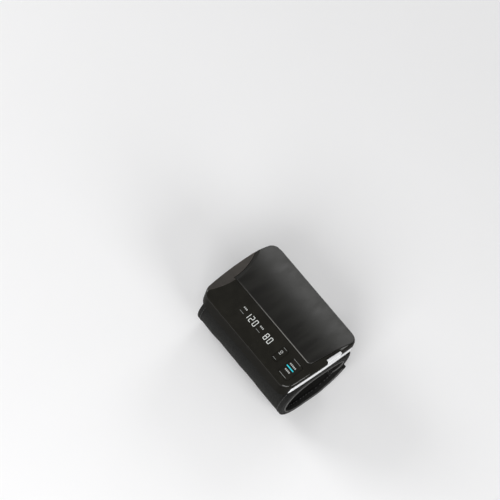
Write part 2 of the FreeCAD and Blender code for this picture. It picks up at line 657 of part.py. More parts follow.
def make_top_cover():
    """Dark arched moulding that carries display, keys and battery cover."""
    side = plan_prism("cover_inside_plan", size("cover_side"))
    inside = arch_bar("cover_inside_arch", ROOF, ARCH_BELOW, ARCH_SIDE)
    hollow = combine("Common", "cover_hollow", [side, inside])
    room = cut("cover_room", hollow, facet_wedge("cover_inside_facet", FACET_DROP))
    shell = cut("cover_shell", make_cover_form(), room)
    moulded = combine("Fuse", "cover_moulded", [shell] + screw_stack("cover_boss", *BOSS))
    gap = size("slide_gap")
    ring = arch_bar("recess_ring", size("( arch_radius + clear_height )"), f"( {PANEL_BASE} - {gap} )",
                    ARCH_SIDE)
    recess = combine("Common", "panel_recess", [panel_block("recess_edge", gap), ring])
    hatch = arch_box("cell_hatch", BATTERY_ANGLE,
                     (f"sizes.battery_x - {ROW_HALF} - sizes.hatch_margin",
                      f"2 * ( {ROW_HALF} + sizes.hatch_margin )"),
                     (f"0 - {HATCH_HALF}", f"2 * {HATCH_HALF}"),
                     (f"{ROOF} - sizes.overrun", size("cover_wall + 2 * overrun")))
    notch = arch_box("sync_notch", SYNC_ANGLE,
                     (size("body_length / 2 - sync_depth - sync_travel - slide_gap"),
                      size("sync_depth + sync_travel + slide_gap + overrun")),
                     (size("0 - sync_width / 2 - slide_gap"), size("sync_width + 2 * slide_gap")),
                     (size("arch_radius - near_depth - overrun"), size("near_depth + 2 * overrun")))
    openings = [key_shaft(f"{key}_hole", key, gap, f"( {ROOF} - sizes.overrun )")
                for key in ("start_key", "memory_key")]
    reliefs = [end_relief("near_relief", True), end_relief("far_relief", False)]
    node("top_cover",
         cut("top_cover", moulded, recess, hatch, notch, *openings, *reliefs,
             *screw_stack("boss_hole", *BOSS_HOLE)))


SCREW_X = size("( body_length / 2 - screw_inset_x )")
DISPLAY_SCREW_X = size("( body_length / 2 - display_screw_inset )")
SCREW_Y = size("( body_width / 2 - screw_inset_y )")
BOSS_EDGE = f"( {SCREW_Y} - sizes.boss_radius )"
BOSS_BASE = f"( {ARCH_Z} + sqrt( {FLOOR} * {FLOOR} - {BOSS_EDGE} * {BOSS_EDGE} ) + sizes.shell_gap )"
ROOF_MIDDLE = size("( arch_radius - cover_wall / 2 )")
BOSS_TOP = f"( {ARCH_Z} + sqrt( {ROOF_MIDDLE} * {ROOF_MIDDLE} - {SCREW_Y} * {SCREW_Y} ) )"
SCREW_SEAT = f"( {ARCH_Z} + sqrt( {FLOOR} * {FLOOR} - {SCREW_Y} * {SCREW_Y} ) - sizes.case_floor / 2 )"
SCREW_HOLE = size("( screw_radius + screw_fit )")


def screw_stack(name, radius, start, height):
    """Four like upright pins, one at each case screw; the one beside the display clears the keys."""
    far_x, display_side = f"0 - {SCREW_X}", f"0 - {SCREW_Y}"
    places = [(far_x, SCREW_Y), (far_x, display_side), (SCREW_X, SCREW_Y), (DISPLAY_SCREW_X, display_side)]
    return [upright_pin(f"{name}_{number}", x, y, start, height, radius)
            for number, (x, y) in enumerate(places, start=1)]


BOSS = (size("boss_radius"), BOSS_BASE, f"{BOSS_TOP} - {BOSS_BASE}")
BOSS_HOLE = (SCREW_HOLE, f"{BOSS_BASE} - sizes.overrun",
             f"{SCREW_SEAT} + sizes.screw_length + sizes.shell_gap - {BOSS_BASE} + sizes.overrun")

ROW_HALF = size("cell_room")
HATCH_HALF = size("( cell_pitch / 2 + cell_diameter / 2 + hatch_margin )")
CELL_LEVEL = f"( {SEAT} + sizes.tray_base + sizes.cell_diameter / 2 + sizes.cell_gap )"
BOARD_TOP = size("( arch_radius - board_depth )")
BOARD_BASE = size("( arch_radius - board_depth - board_thickness )")
KEY_RIM_TOP = f"( {ROOF} - sizes.key_drop )"


def key_shaft(name, key, gap, start):
    """Round-cornered block of one key up past the roof, grown by an expression."""
    return arch_block(name, DISPLAY_ANGLE,
                      (f"sizes.{key}_x", f"( sizes.{key}_length + 2 * {gap} )"),
                      (f"0 - sizes.{key}_shift", f"( sizes.{key}_width + 2 * {gap} )"),
                      (start, f"sizes.arch_radius + sizes.overrun - {start}"),
                      f"( sizes.key_round + {gap} )")


def make_key(key):
    """Key flush with the roof, with the rim that holds it and the stem that meets its switch."""
    roof = arch_bar(f"{key}_roof", size("arch_radius"), ARCH_BELOW, ARCH_SIDE)
    cap = combine("Common", f"{key}_cap", [key_shaft(f"{key}_shaft", key, "0", KEY_RIM_TOP), roof])
    rim = arch_block(f"{key}_rim", DISPLAY_ANGLE,
                     (f"sizes.{key}_x", f"( sizes.{key}_length + 2 * sizes.key_flange )"),
                     (f"0 - sizes.{key}_shift", f"( sizes.{key}_width + 2 * sizes.key_flange )"),
                     (f"{KEY_RIM_TOP} - sizes.key_flange_height", size("key_flange_height")),
                     size("( key_round + key_flange )"))
    stem_base = f"( {SWITCH_TOP} + sizes.key_travel + sizes.stop_gap )"
    stem = arch_pin(f"{key}_stem", DISPLAY_ANGLE, f"sizes.{key}_x", f"0 - sizes.{key}_shift", stem_base,
                    f"{KEY_RIM_TOP} - sizes.key_flange_height - {stem_base}", size("key_stem_radius"))
    node(key, combine("Fuse", key, [cap, rim, stem]))


SWITCH_TOP = f"( {BOARD_TOP} + sizes.switch_height + sizes.switch_plunger_height )"


def make_key_switch(label, key):
    """Tact switch on the main board, under one key."""
    half = size("switch_size / 2")
    body = arch_box(f"{label}_body", DISPLAY_ANGLE, (f"sizes.{key}_x - {half}", size("switch_size")),
                    (f"0 - sizes.{key}_shift - {half}", size("switch_size")),
                    (BOARD_TOP, size("switch_height")))
    plunger = arch_pin(f"{label}_plunger", DISPLAY_ANGLE, f"sizes.{key}_x", f"0 - sizes.{key}_shift",
                       f"{BOARD_TOP} + sizes.switch_height", size("switch_plunger_height"),
                       size("switch_plunger_radius"))
    node(label, combine("Fuse", label, [body, plunger]))


def board_pins(name, start, height, radius):
    """Four like cylinders, one at each hole of the main board."""
    far = size("( board_start_x + board_hole_inset )")
    near = size("( board_start_x + board_length - board_hole_inset )")
    side = size("( board_width / 2 - board_hole_inset )")
    places = [(x, f"sizes.board_shift {sign} {side}") for x in (far, near) for sign in "+-"]
    return [arch_pin(f"{name}_{number}", DISPLAY_ANGLE, x, y, start, height, radius)
            for number, (x, y) in enumerate(places, start=1)]


def make_main_board():
    """Board on its posts, with the screws that hold it."""
    board = arch_box("board_blank", DISPLAY_ANGLE, (size("board_start_x"), size("board_length")),
                     (size("board_shift - board_width / 2"), size("board_width")),
                     (BOARD_BASE, size("board_thickness")))
    holes = board_pins("board_hole", f"{BOARD_BASE} - sizes.overrun", size("board_thickness + 2 * overrun"),
                       size("board_screw_radius + screw_fit"))
    node("main_board", cut("main_board", board, *holes))
    heads = board_pins("board_head", BOARD_TOP, size("board_head_height"), size("board_head_radius"))
    shanks = board_pins("board_shank", f"{BOARD_TOP} - sizes.board_screw_length",
                        size("board_screw_length"),
                        size("board_screw_radius"))
    screws = [combine("Fuse", f"board_screw_{number}", list(pair))
              for number, pair in enumerate(zip(heads, shanks), start=1)]
    node("board_screws", group("board_screws", screws))


def display_frame(name, shrink, start, height):
    """Block as large as the display module, drawn in by an expression."""
    return arch_box(name, DISPLAY_ANGLE,
                    (f"sizes.display_x - sizes.display_length / 2 + {shrink}",
                     f"sizes.display_length - 2 * {shrink}"),
                    (f"0 - sizes.display_width / 2 + {shrink}",
                     f"sizes.display_width - 2 * {shrink}"), (start, height))


def make_display():
    """Display module on the board and the gasket between it and the roof."""
    node("display_module", display_frame("display_module", "0", BOARD_TOP, size("display_thickness")))
    top = f"( {BOARD_TOP} + sizes.display_thickness )"
    rim = display_frame("gasket_rim", "0", top, size("gasket_height"))
    window = display_frame("gasket_window", size("gasket_width"), f"{top} - sizes.overrun",
                           size("gasket_height + 2 * overrun"))
    node("display_gasket", cut("display_gasket", rim, window))


PUMP_LEVEL = f"( {SEAT} + sizes.motor_diameter / 2 )"
PUMP_HEAD_X = size("( pump_start_x + motor_length )")
AIR_LEVEL = f"( {SEAT} + sizes.manifold_height / 2 )"
MANIFOLD_END_X = size("( manifold_start_x + manifold_length )")
PORT_ANGLE = f"asin( sizes.port_offset / {BACK} )"


def make_pump():
    """Motor, and the diaphragm head with its outlet into the manifold."""
    motor = arch_rod("pump_motor", DISPLAY_ANGLE, size("pump_start_x"), size("motor_length"), "0",
                     PUMP_LEVEL, size("motor_diameter / 2"))
    node("pump_motor", motor)
    head = arch_block("pump_head_block", DISPLAY_ANGLE,
                      (f"{PUMP_HEAD_X} + sizes.pump_head_length / 2", size("pump_head_length")),
                      ("0", size("pump_head_width")), (SEAT, size("motor_diameter - shell_gap")),
                      size("pump_head_round"))
    end_x = f"( {PUMP_HEAD_X} + sizes.pump_head_length )"
    spigot = arch_rod("pump_spigot", DISPLAY_ANGLE, end_x, f"sizes.manifold_start_x - {end_x}", "0",
                      AIR_LEVEL, size("spigot_radius"))
    node("pump_head", combine("Fuse", "pump_head", [head, spigot]))


def make_valve():
    """Exhaust valve on the other end of the manifold."""
    across = size("0 - valve_shift")
    body = arch_rod("valve_body", DISPLAY_ANGLE, f"{MANIFOLD_END_X} + sizes.valve_gap",
                    size("valve_length"), across,
                    f"{SEAT} + sizes.valve_diameter / 2", size("valve_diameter / 2"))
    spigot = arch_rod("valve_spigot", DISPLAY_ANGLE, MANIFOLD_END_X, size("valve_gap"), across, AIR_LEVEL,
                      size("spigot_radius"))
    node("exhaust_valve", combine("Fuse", "exhaust_valve", [body, spigot]))


def make_air_parts():
    """Manifold, pressure sensor, and the sealed port from the manifold into the cuff."""
    block = doc.addObject("Part::Box", "manifold_block")
    bind(block, Length=size("manifold_length"), Width=size("manifold_width"), Height=CREST_Z,
         Placement__Base__x=size("manifold_start_x"),
         Placement__Base__y=size("manifold_near_y - manifold_width"))
    ring = arch_bar("manifold_ring", f"( {SEAT} + sizes.manifold_height )", SEAT, ARCH_SIDE)
    blank = combine("Common", "manifold_blank", [block, ring])
    seal_room = port_pin("seal_room", f"{SEAT} - sizes.overrun",
                         size("overrun + seal_height + shell_gap"),
                         size("port_radius + seal_width + shell_gap"))
    port_room = port_pin("port_room", SEAT, size("port_insert + shell_gap"),
                         size("port_radius + shell_gap"))
    node("air_manifold", cut("air_manifold", blank, seal_room, port_room))

    port_base = f"( {CUFF_TOP} - {BLADDER_DEPTH} + sizes.shell_gap )"
    tube_length = f"{SEAT} + sizes.port_insert - {port_base}"
    tube = port_pin("port_tube", port_base, tube_length, size("port_radius"))
    bore = port_pin("port_channel", f"{port_base} - sizes.overrun", f"{tube_length} + 2 * sizes.overrun",
                    size("port_bore"))
    node("air_port", cut("air_port", tube, bore))

    ring = port_pin("seal_ring", SEAT, size("seal_height"), size("port_radius + seal_width"))
    hole = port_pin("seal_hole", f"{SEAT} - sizes.overrun", size("seal_height + 2 * overrun"),
                    size("port_radius + screw_fit"))
    node("port_seal", cut("port_seal", ring, hole))

    sensor_base = f"( {SEAT} + sizes.manifold_height + sizes.slide_gap )"
    sensor = arch_box("pressure_sensor", DISPLAY_ANGLE,
                      (size("sensor_x - sensor_size / 2"), size("sensor_size")),
                      (size("sensor_reach - sensor_size / 2"), size("sensor_size")),
                      (sensor_base, f"{BOARD_BASE} - {sensor_base}"))
    node("pressure_sensor", sensor)


def port_pin(name, start, height, radius):
    """Cylinder on the axis of the air port."""
    return arch_pin(name, PORT_ANGLE, size("port_x"), "0", start, height, radius)


TRAY_HALF = size("( cell_pitch / 2 + cell_diameter / 2 + cell_gap + tray_wall )")


def cell_row(side):
    """Distance of a cell row from the middle of the cells."""
    return f"( {side} * sizes.cell_pitch / 2 )"


def make_tray():
    """Trough for the two rows of cells, with end walls behind the contacts."""
    start = f"( sizes.battery_x - {ROW_HALF} - sizes.tray_wall )"
    length = f"( 2 * ( {ROW_HALF} + sizes.tray_wall ) )"
    low = f"( {SEAT} - sizes.overrun )"
    wall_top = f"( {CELL_LEVEL} + sizes.contact_height / 2 )"
    across = (f"0 - {TRAY_HALF}", f"2 * {TRAY_HALF}")
    base = arch_box("tray_base_block", BATTERY_ANGLE, (start, length), across,
                    (low, f"{CELL_LEVEL} - {low}"))
    walls = [arch_box(f"tray_end_{number}", BATTERY_ANGLE, (x, size("tray_wall")), across,
                      (low, f"{wall_top} - {low}"))
             for number, x in enumerate((start, f"{start} + {length} - sizes.tray_wall"), start=1)]
    ring = arch_bar("tray_ring", size("( arch_radius + clear_height )"), SEAT, ARCH_SIDE)
    blank = combine("Common", "tray_blank", [combine("Fuse", "tray_blocks", [base] + walls), ring])
    troughs = [arch_rod(f"tray_trough_{number}", BATTERY_ANGLE, f"sizes.battery_x - {ROW_HALF}",
                        f"2 * {ROW_HALF}",
                        cell_row(side), CELL_LEVEL, size("cell_diameter / 2 + cell_gap"))
               for number, side in enumerate((-1, 1), start=1)]
    slot_base = f"( {CELL_LEVEL} - sizes.contact_height / 2 - sizes.cell_gap )"
    slot_depth = size("( contact_thickness + cell_gap )")
    slot_half = size("( cell_pitch / 2 + contact_width / 2 + cell_gap )")
    slots = [arch_box(f"contact_slot_{number}", BATTERY_ANGLE, (x, slot_depth),
                      (f"0 - {slot_half}", f"2 * {slot_half}"),
                      (slot_base, size("contact_height + overrun")))
             for number, x in enumerate((f"sizes.battery_x - {ROW_HALF}",
                                         f"sizes.battery_x + {ROW_HALF} - {slot_depth}"), start=1)]
    node("battery_tray", cut("battery_tray", blank, *troughs, *slots))


def make_cell(number, side, place):
    """One cell: place 0 lies against the sprung contact of its row, place 1 against the plate."""
    can_length = size("( cell_length - cap_height )")
    lead = size("( contact_thickness + bump_height + cell_gap )")
    step = f"( {lead} + {place} * ( sizes.cell_length + sizes.cell_gap ) )"
    if side < 0:
        can_x = f"( sizes.battery_x - {ROW_HALF} + {step} )"
        cap_x = f"{can_x} + {can_length}"
    else:
        can_x = f"( sizes.battery_x + {ROW_HALF} - {step} - {can_length} )"
        cap_x = f"{can_x} - sizes.cap_height"
    can = arch_rod(f"cell_can_{number}", BATTERY_ANGLE, can_x, can_length, cell_row(side), CELL_LEVEL,
                   size("cell_diameter / 2"))
    cap = arch_rod(f"cell_cap_{number}", BATTERY_ANGLE, cap_x, size("cap_height"), cell_row(side),
                   CELL_LEVEL, size("cap_diameter / 2"))
    node(f"battery_{number}", combine("Fuse", f"battery_{number}", [can, cap]))


def contact_plate(name, x, middle, width):
    """Flat contact on an end wall of the tray."""
    return arch_box(name, BATTERY_ANGLE, (x, size("contact_thickness")), (f"{middle} - {width} / 2", width),
                    (f"{CELL_LEVEL} - sizes.contact_height / 2", size("contact_height")))


def make_contacts():
    """Bridge at the far end, and the two terminals at the near end."""
    far_x = f"( sizes.battery_x - {ROW_HALF} )"
    near_x = f"( sizes.battery_x + {ROW_HALF} - sizes.contact_thickness )"
    width = size("contact_width")
    wide, narrow, height = size("bump_radius"), size("bump_radius / 2"), size("bump_height")
    bridge = contact_plate("bridge_plate", far_x, "0", size("( cell_pitch + contact_width )"))
    bow = arch_cone("bridge_bow", BATTERY_ANGLE, f"{far_x} + sizes.contact_thickness", height, cell_row(-1),
                    CELL_LEVEL, wide, narrow)
    node("contact_bridge", combine("Fuse", "contact_bridge", [bridge, bow]))
    node("contact_positive", contact_plate("contact_positive", near_x, cell_row(-1), width))
    plate = contact_plate("negative_plate", near_x, cell_row(1), width)
    bow = arch_cone("negative_bow", BATTERY_ANGLE, f"{near_x} - {height}", height, cell_row(1), CELL_LEVEL,
                    narrow, wide)
    node("contact_negative", combine("Fuse", "contact_negative", [plate, bow]))


SYNC_BASE = size("( arch_radius - near_depth + slide_gap )")
SYNC_LEVEL = size("( arch_radius - near_depth + slide_gap + sync_flange_height / 2 )")
SYNC_CORNER_Y = size("( sync_offset + sync_width / 2 + sync_flange )")
END_CURVE = size("end_bulge * 4 / ( body_width * body_width )")
END_SAG = f"( {SYNC_CORNER_Y} * {SYNC_CORNER_Y} * {END_CURVE} )"
SYNC_FACE_X = f"( sizes.body_length / 2 - sizes.sync_offset * sizes.sync_offset * {END_CURVE} )"
SYNC_RIM_X = f"( {HALF_LENGTH} - sizes.cover_side - {END_SAG} - sizes.slide_gap )"
SYNC_STEM_X = f"( {SYNC_RIM_X} - sizes.sync_flange_depth - sizes.sync_stem_length )"
SYNC_PLUNGER_X = f"( {SYNC_STEM_X} - sizes.sync_travel - sizes.stop_gap )"
SYNC_SWITCH_X = f"( {SYNC_PLUNGER_X} - sizes.switch_plunger_height - sizes.sync_switch_depth )"
SYNC_SWITCH_BASE = f"( {SYNC_LEVEL} - sizes.sync_switch_height / 2 )"


def make_sync_button():
    """White push button in the near end wall, held by a rim behind the wall."""
    front_x = f"( {SYNC_FACE_X} - sizes.sync_depth )"
    across = (size("0 - sync_width / 2"), size("sync_width"))
    front = arch_box("sync_front", SYNC_ANGLE, (front_x, size("sync_depth")), across,
                     (SYNC_BASE, f"sizes.arch_radius - sizes.sync_drop - {SYNC_BASE}"))
    shaped = ease_edges("Fillet", "sync_shaped", front, size("sync_round"), lambda edge: (
        middle_of(edge).x > calc(SYNC_FACE_X) - TOLERANCE))
    rim_x = f"( {SYNC_RIM_X} - sizes.sync_flange_depth )"
    neck = arch_box("sync_neck", SYNC_ANGLE, (rim_x, f"{front_x} + sizes.shell_gap - {rim_x}"), across,
                    (SYNC_BASE, size("sync_flange_height")))
    rim = arch_box("sync_rim", SYNC_ANGLE, (rim_x, size("sync_flange_depth")),
                   (size("0 - sync_width / 2 - sync_flange"), size("sync_width + 2 * sync_flange")),
                   (SYNC_BASE, size("sync_flange_height")))
    stem = arch_box("sync_stem", SYNC_ANGLE, (SYNC_STEM_X, size("sync_stem_length")),
                    (size("0 - sync_stem_size / 2"), size("sync_stem_size")),
                    (SYNC_BASE, size("sync_flange_height")))
    node("sync_button", combine("Fuse", "sync_button", [shaped, neck, rim, stem]))


def make_sync_switch():
    """Side switch behind the sync button."""
    body = arch_box("sync_switch_body", SYNC_ANGLE, (SYNC_SWITCH_X, size("sync_switch_depth")),
                    (size("0 - switch_size / 2"), size("switch_size")),
                    (SYNC_SWITCH_BASE, size("sync_switch_height")))
    plunger = arch_rod("sync_switch_plunger", SYNC_ANGLE, f"{SYNC_SWITCH_X} + sizes.sync_switch_depth",
                       size("switch_plunger_height"), "0", SYNC_LEVEL, size("sync_switch_height / 4"))
    node("sync_switch", combine("Fuse", "sync_switch", [body, plunger]))


CUFF_TOP = f"( {BACK} - sizes.cuff_gap )"
CURLER_DEPTH = size("( sleeve_thickness + layer_gap )")
BLADDER_DEPTH = size("( sleeve_thickness + curler_thickness + 2 * layer_gap )")
LINING_DEPTH = size("( sleeve_thickness + curler_thickness + bladder_thickness + 3 * layer_gap )")
BAND_DEPTH = size("( sleeve_thickness + curler_thickness + bladder_thickness"
                  " + lining_thickness + 3 * layer_gap )")
CURLER_INSIDE = f"( {CUFF_TOP} - {CURLER_DEPTH} - sizes.curler_thickness )"


def rivet_pins(name, start, height, radius):
    """Two like pins, one at each cuff rivet on the crest."""
    return [arch_pin(f"{name}_{number}", "0", x, "0", start, height, radius)
            for number, x in enumerate((size("rivet_x"), size("0 - rivet_x")), start=1)]


def make_rivets():
    """Rivets that hold the cuff to the rear case, with a head at each end."""
    length = f"{FLOOR} - {CURLER_INSIDE}"
    head = (size("rivet_head_height"), size("rivet_head_radius"))
    shanks = rivet_pins("rivet_shank", CURLER_INSIDE, length, size("rivet_radius"))
    lower = rivet_pins("rivet_lower", CURLER_INSIDE, *head)
    upper = rivet_pins("rivet_upper", f"{FLOOR} - sizes.rivet_head_height", *head)
    rivets = [combine("Fuse", f"rivet_{number}", list(pieces))
              for number, pieces in enumerate(zip(shanks, lower, upper), start=1)]
    node("cuff_rivets", group("cuff_rivets", rivets))


def make_rear_case():
    """White tray that closes the monitor, with its end lips, board posts and switch post."""
    rim = size("( arch_radius - near_depth - shell_gap )")
    outside = plan_prism("case_plan", size("( cover_side + shell_gap )"))
    inside = plan_prism("case_inside_plan", size("( cover_side + shell_gap + case_wall )"))
    block = combine("Common", "case_block", [outside, arch_bar("case_arch", rim, BACK, ARCH_SIDE)])
    blank = combine("Fuse", "case_blank", [block, end_lip("near_lip", True), end_lip("far_lip", False)])
    ring = arch_bar("case_room_arch", size("( arch_radius + clear_height )"), FLOOR, ARCH_SIDE)
    room = combine("Common", "case_room", [inside, ring])
    shell = cut("case_shell", blank, room, facet_wedge("case_facet", f"( {FACET_DROP} + sizes.shell_gap )"))
    sunk = f"( {FLOOR} - sizes.case_floor / 2 )"
    pins = board_pins("board_post", ARCH_BELOW, f"{BOARD_BASE} - {ARCH_BELOW}", size("post_radius"))
    posts = combine("Common", "board_posts", [combine("Fuse", "post_pins", pins),
                                              arch_bar("post_ring", size("arch_radius"), sunk, ARCH_SIDE)])
    post = arch_box("switch_post", SYNC_ANGLE, (SYNC_SWITCH_X, size("sync_switch_depth")),
                    (size("0 - switch_size / 2"), size("switch_size")),
                    (sunk, f"{SYNC_SWITCH_BASE} - {sunk}"))
    moulded = combine("Fuse", "case_moulded", [shell, post, posts])
    fit = size("screw_fit")
    holes = board_pins("post_hole", f"{BOARD_TOP} - sizes.board_screw_length - {fit}",
                       size("board_screw_length + overrun"), size("board_screw_radius + screw_fit"))
    holes += screw_stack("case_hole", SCREW_HOLE, f"{SCREW_SEAT} - sizes.overrun", size("2 * overrun"))
    holes += screw_stack("case_sink", size("screw_head_radius + screw_fit"),
                         f"{SCREW_SEAT} - sizes.overrun", size("overrun"))
    holes += rivet_pins("case_rivet_hole", f"{BACK} - sizes.overrun", size("case_floor + 2 * overrun"),
                        size("rivet_radius + screw_fit"))
    holes += rivet_pins("case_rivet_sink", f"{FLOOR} - sizes.rivet_head_height",
                        size("rivet_head_height + overrun"),
                        size("rivet_head_radius + screw_fit"))
    holes.append(port_pin("case_port_hole", f"{BACK} - sizes.overrun", size("case_floor + 2 * overrun"),
                          size("port_radius + shell_gap")))
    node("rear_case", cut("rear_case", moulded, *holes))


def make_case_screws():
    """Screws from the back of the rear case into the bosses of the top cover."""
    shanks = screw_stack("screw_shank", size("screw_radius"), SCREW_SEAT, size("screw_length"))
    heads = screw_stack("screw_head", size("screw_head_radius"), f"{SCREW_SEAT} - sizes.screw_head_height",
                        size("screw_head_height"))
    screws = [combine("Fuse", f"case_screw_{number}", list(pair)) for number,
              pair in enumerate(zip(shanks, heads), start=1)]
    node("case_screws", group("case_screws", screws))


def loop_arcs():
    """Outer face of the cuff band, wing first: arcs as (centre y, centre z, radius, start, end degrees)."""
    arch_z, top = calc(ARCH_Z), calc(CUFF_TOP)
    half = calc(size("cuff_half_width"))
    slope = 2 * (top - half - arch_z)
    side = (math.sqrt(slope ** 2 - 4 * (half ** 2 + arch_z ** 2 - top ** 2)) - slope) / 2
    middle = half - side
    left_turn = math.degrees(math.atan2(side - arch_z, -middle))
    tail = calc(size("tail_radius"))
    tail_middle = half - tail
    curl = calc(size("curl_radius"))
    room = tail - calc(size("tail_thickness + hook_thickness + loop_thickness + curl_gap"))
    level = arch_z + math.sqrt((top - curl) ** 2 - (half - curl) ** 2) - tail
    curl_y = tail_middle + math.sqrt(room ** 2 - level ** 2) - curl
    rise = math.sqrt((top - curl) ** 2 - curl_y ** 2)
    turn = math.degrees(math.atan2(rise, curl_y))
    fold = calc(size("hinge_angle")) - math.degrees(calc(size("fold_gap")) / tail)
    heel_y, heel = calc(size("heel_y")), calc(size("heel_radius"))
    half_bend = math.atan2(heel_y - tail_middle, tail)
    bend_end = 2 * math.degrees(half_bend) - QUARTER_TURN
    return [
        (curl_y, arch_z + rise, curl, calc(size("curl_end_angle")), turn),
        (0, arch_z, top, turn, left_turn),
        (-middle, side, side, left_turn, 3 * QUARTER_TURN),
        (heel_y - heel * math.tan(half_bend), heel, heel, -QUARTER_TURN, bend_end),
        (tail_middle, tail, tail, bend_end, fold),
    ]


def arc_point(arc, inset, degrees):
    """Point of an arc drawn in by an inset."""
    reach = arc[2] - inset
    angle = math.radians(degrees)
    return FreeCAD.Vector(0, arc[0] + reach * math.cos(angle), arc[1] + reach * math.sin(angle))


def face_edges(arcs, inset):
    """Edges of one face of a band: the arcs, and the straight runs between them."""
    edges, last = [], None
    for arc in arcs:
        start, end = arc_point(arc, inset, arc[3]), arc_point(arc, inset, arc[4])
        if last is not None and last.distanceToPoint(start) > TOLERANCE:
            edges.append(Part.LineSegment(last, start).toShape())
        edges.append(Part.Arc(start, arc_point(arc, inset, (arc[3] + arc[4]) / 2), end).toShape())
        last = end
    return edges


def band(name, arcs, depth, thickness, start_x, length):
    """Layer of the cuff between two depths under the outer face, along part of the arm."""
    inner_depth = depth + thickness
    outer, inner = face_edges(arcs, depth), face_edges(arcs, inner_depth)
    caps = []
    for arc, angle in ((arcs[0], arcs[0][3]), (arcs[-1], arcs[-1][4])):
        caps.append(Part.LineSegment(arc_point(arc, depth, angle),
                                     arc_point(arc, inner_depth, angle)).toShape())
    wire = Part.Wire(Part.sortEdges(outer + inner + caps)[0])
    solid = Part.Face(wire).extrude(FreeCAD.Vector(length, 0, 0))
    solid.translate(FreeCAD.Vector(start_x, 0, 0))
    item = doc.addObject("Part::Feature", name)
    item.Shape = solid
    return item


def cuff_ends(margin):
    """Far and near end of the cuff along the arm, drawn in by an expression."""
    half = f"{HALF_LENGTH} - {size(margin)}"
    return -calc(f"{half} - sizes.cuff_far_inset"), calc(f"{half} - sizes.cuff_near_inset")


def make_cuff():
    """Pre-formed band in layers, with its edge tapes and the loop pad on its wing."""
    arcs = loop_arcs()
    far, near = cuff_ends("0")
    tape = calc(size("binding_width"))
    inner_start, inner_length = far + tape, near - far - 2 * tape
    layers = [("sleeve_band", "0", "sleeve_thickness"), ("curler_band", CURLER_DEPTH, "curler_thickness"),
              ("air_bladder", BLADDER_DEPTH, "bladder_thickness"), ("cuff_lining", LINING_DEPTH,
                                                                    "lining_thickness")]
    made = {name: band(name, arcs, calc(depth), calc(size(thickness)), inner_start, inner_length)
            for name, depth, thickness in layers}
    low, reach = f"{CURLER_INSIDE} - sizes.overrun", size("case_floor + 2 * overrun")
    fit = size("rivet_radius + screw_fit")
    sleeve_holes = rivet_pins("sleeve_rivet_hole", low, reach, fit)
    sleeve_holes.append(port_pin("sleeve_port_hole", low, reach, size("port_radius + shell_gap")))
    node("cuff_sleeve", cut("cuff_sleeve", made["sleeve_band"], *sleeve_holes))
    sheet_holes = rivet_pins("curler_rivet_hole", low, reach, fit)
    sheet_holes += rivet_pins("curler_rivet_sink", low, size("overrun + rivet_head_height"),
                              size("rivet_head_radius + screw_fit"))
    sheet_holes.append(port_pin("curler_port_hole", low, reach, size("port_radius + shell_gap")))
    node("curler_sheet", cut("curler_sheet", made["curler_band"], *sheet_holes))
    node("air_bladder", made["air_bladder"])
    node("cuff_lining", made["cuff_lining"])
    for label, start in (("far_binding", far), ("near_binding", near - tape)):
        node(label, band(label, arcs, 0, calc(BAND_DEPTH), start, tape))

    spread = calc(size("curl_pad_angle"))
    far, near = cuff_ends("pad_margin")
    pad_arc = [arcs[0][:3] + (-spread, spread)]
    thickness = calc(size("loop_thickness"))
    node("wing_loops", band("wing_loops", pad_arc, -thickness, thickness, far, near - far))


def make_tail():
    """Free end of the band, which folds open at its hinge line, with its hook pad."""
    side = loop_arcs()[-1]
    start = calc(size("hinge_angle"))
    skirt = calc(size("arch_radius - skirt_depth"))
    top = calc(ARCH_Z) + math.sqrt(skirt ** 2 - calc(HALF_WIDTH) ** 2) - calc(size("tail_end_gap"))
    end = math.degrees(math.asin((top - side[1]) / side[2]))
    far, near = cuff_ends("tail_margin")
    thickness = calc(size("tail_thickness"))
    node("cuff_tail", band("cuff_tail", [side[:3] + (start, end)], 0, thickness, far, near - far))
    edge = calc(size("pad_edge_angle"))
    far, near = cuff_ends("pad_margin")
    node("tail_hooks", band("tail_hooks", [side[:3] + (start + edge, end - edge)], thickness,
                            calc(size("hook_thickness")), far, near - far))


def make_pieces():
    """Every piece of the monitor and its cuff."""
    make_top_cover()
    make_battery_cover()
    make_rear_case()
    make_case_screws()
    make_main_board()
    make_display()
    for key in ("start_key", "memory_key"):
        make_key(key)
    make_key_switch("start_switch", "start_key")
    make_key_switch("memory_switch", "memory_key")
    make_sync_button()
    make_sync_switch()
    make_pump()
    make_valve()
    make_air_parts()
    make_tray()
    for number, (side, place) in enumerate([(-1, 0), (-1, 1), (1, 0), (1, 1)], start=1):
        make_cell(number, side, place)
    make_contacts()
    make_rivets()
    make_cuff()
    make_tail()


def check_document():
    """Stop if any object failed or any piece has no sound shape."""
    doc.recompute()
    failed = [item.Name for item in doc.Objects if {"Invalid", "Error"} & set(item.State)]
    unsound = [label for label, item in NODES.items() if item.Shape.isNull() or not item.Shape.isValid()]
    if failed or unsound:
        raise RuntimeError(f"failed objects {failed}, unsound pieces {unsound}")


make_pieces()
check_document()
os.makedirs("parts", exist_ok=True)
for label, item in NODES.items():
    item.Shape.exportStep(f"parts/{label}.step")
    print(label, len(item.Shape.Solids), round(item.Shape.Volume, 1))
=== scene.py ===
"""Looks of a one-piece upper-arm blood pressure monitor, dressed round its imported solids.

Metres. X runs along the arm, Y across the monitor and Z up from the floor that the cuff lies on.
The cloth of the cuff follows the loop of the part's own bands, and the marks lie on its arched roof.
"""
import logging
import math
from dataclasses import dataclass
from enum import Enum
from typing import Callable, Iterator

import bmesh
import bpy
from mathutils import Matrix, Vector, noise


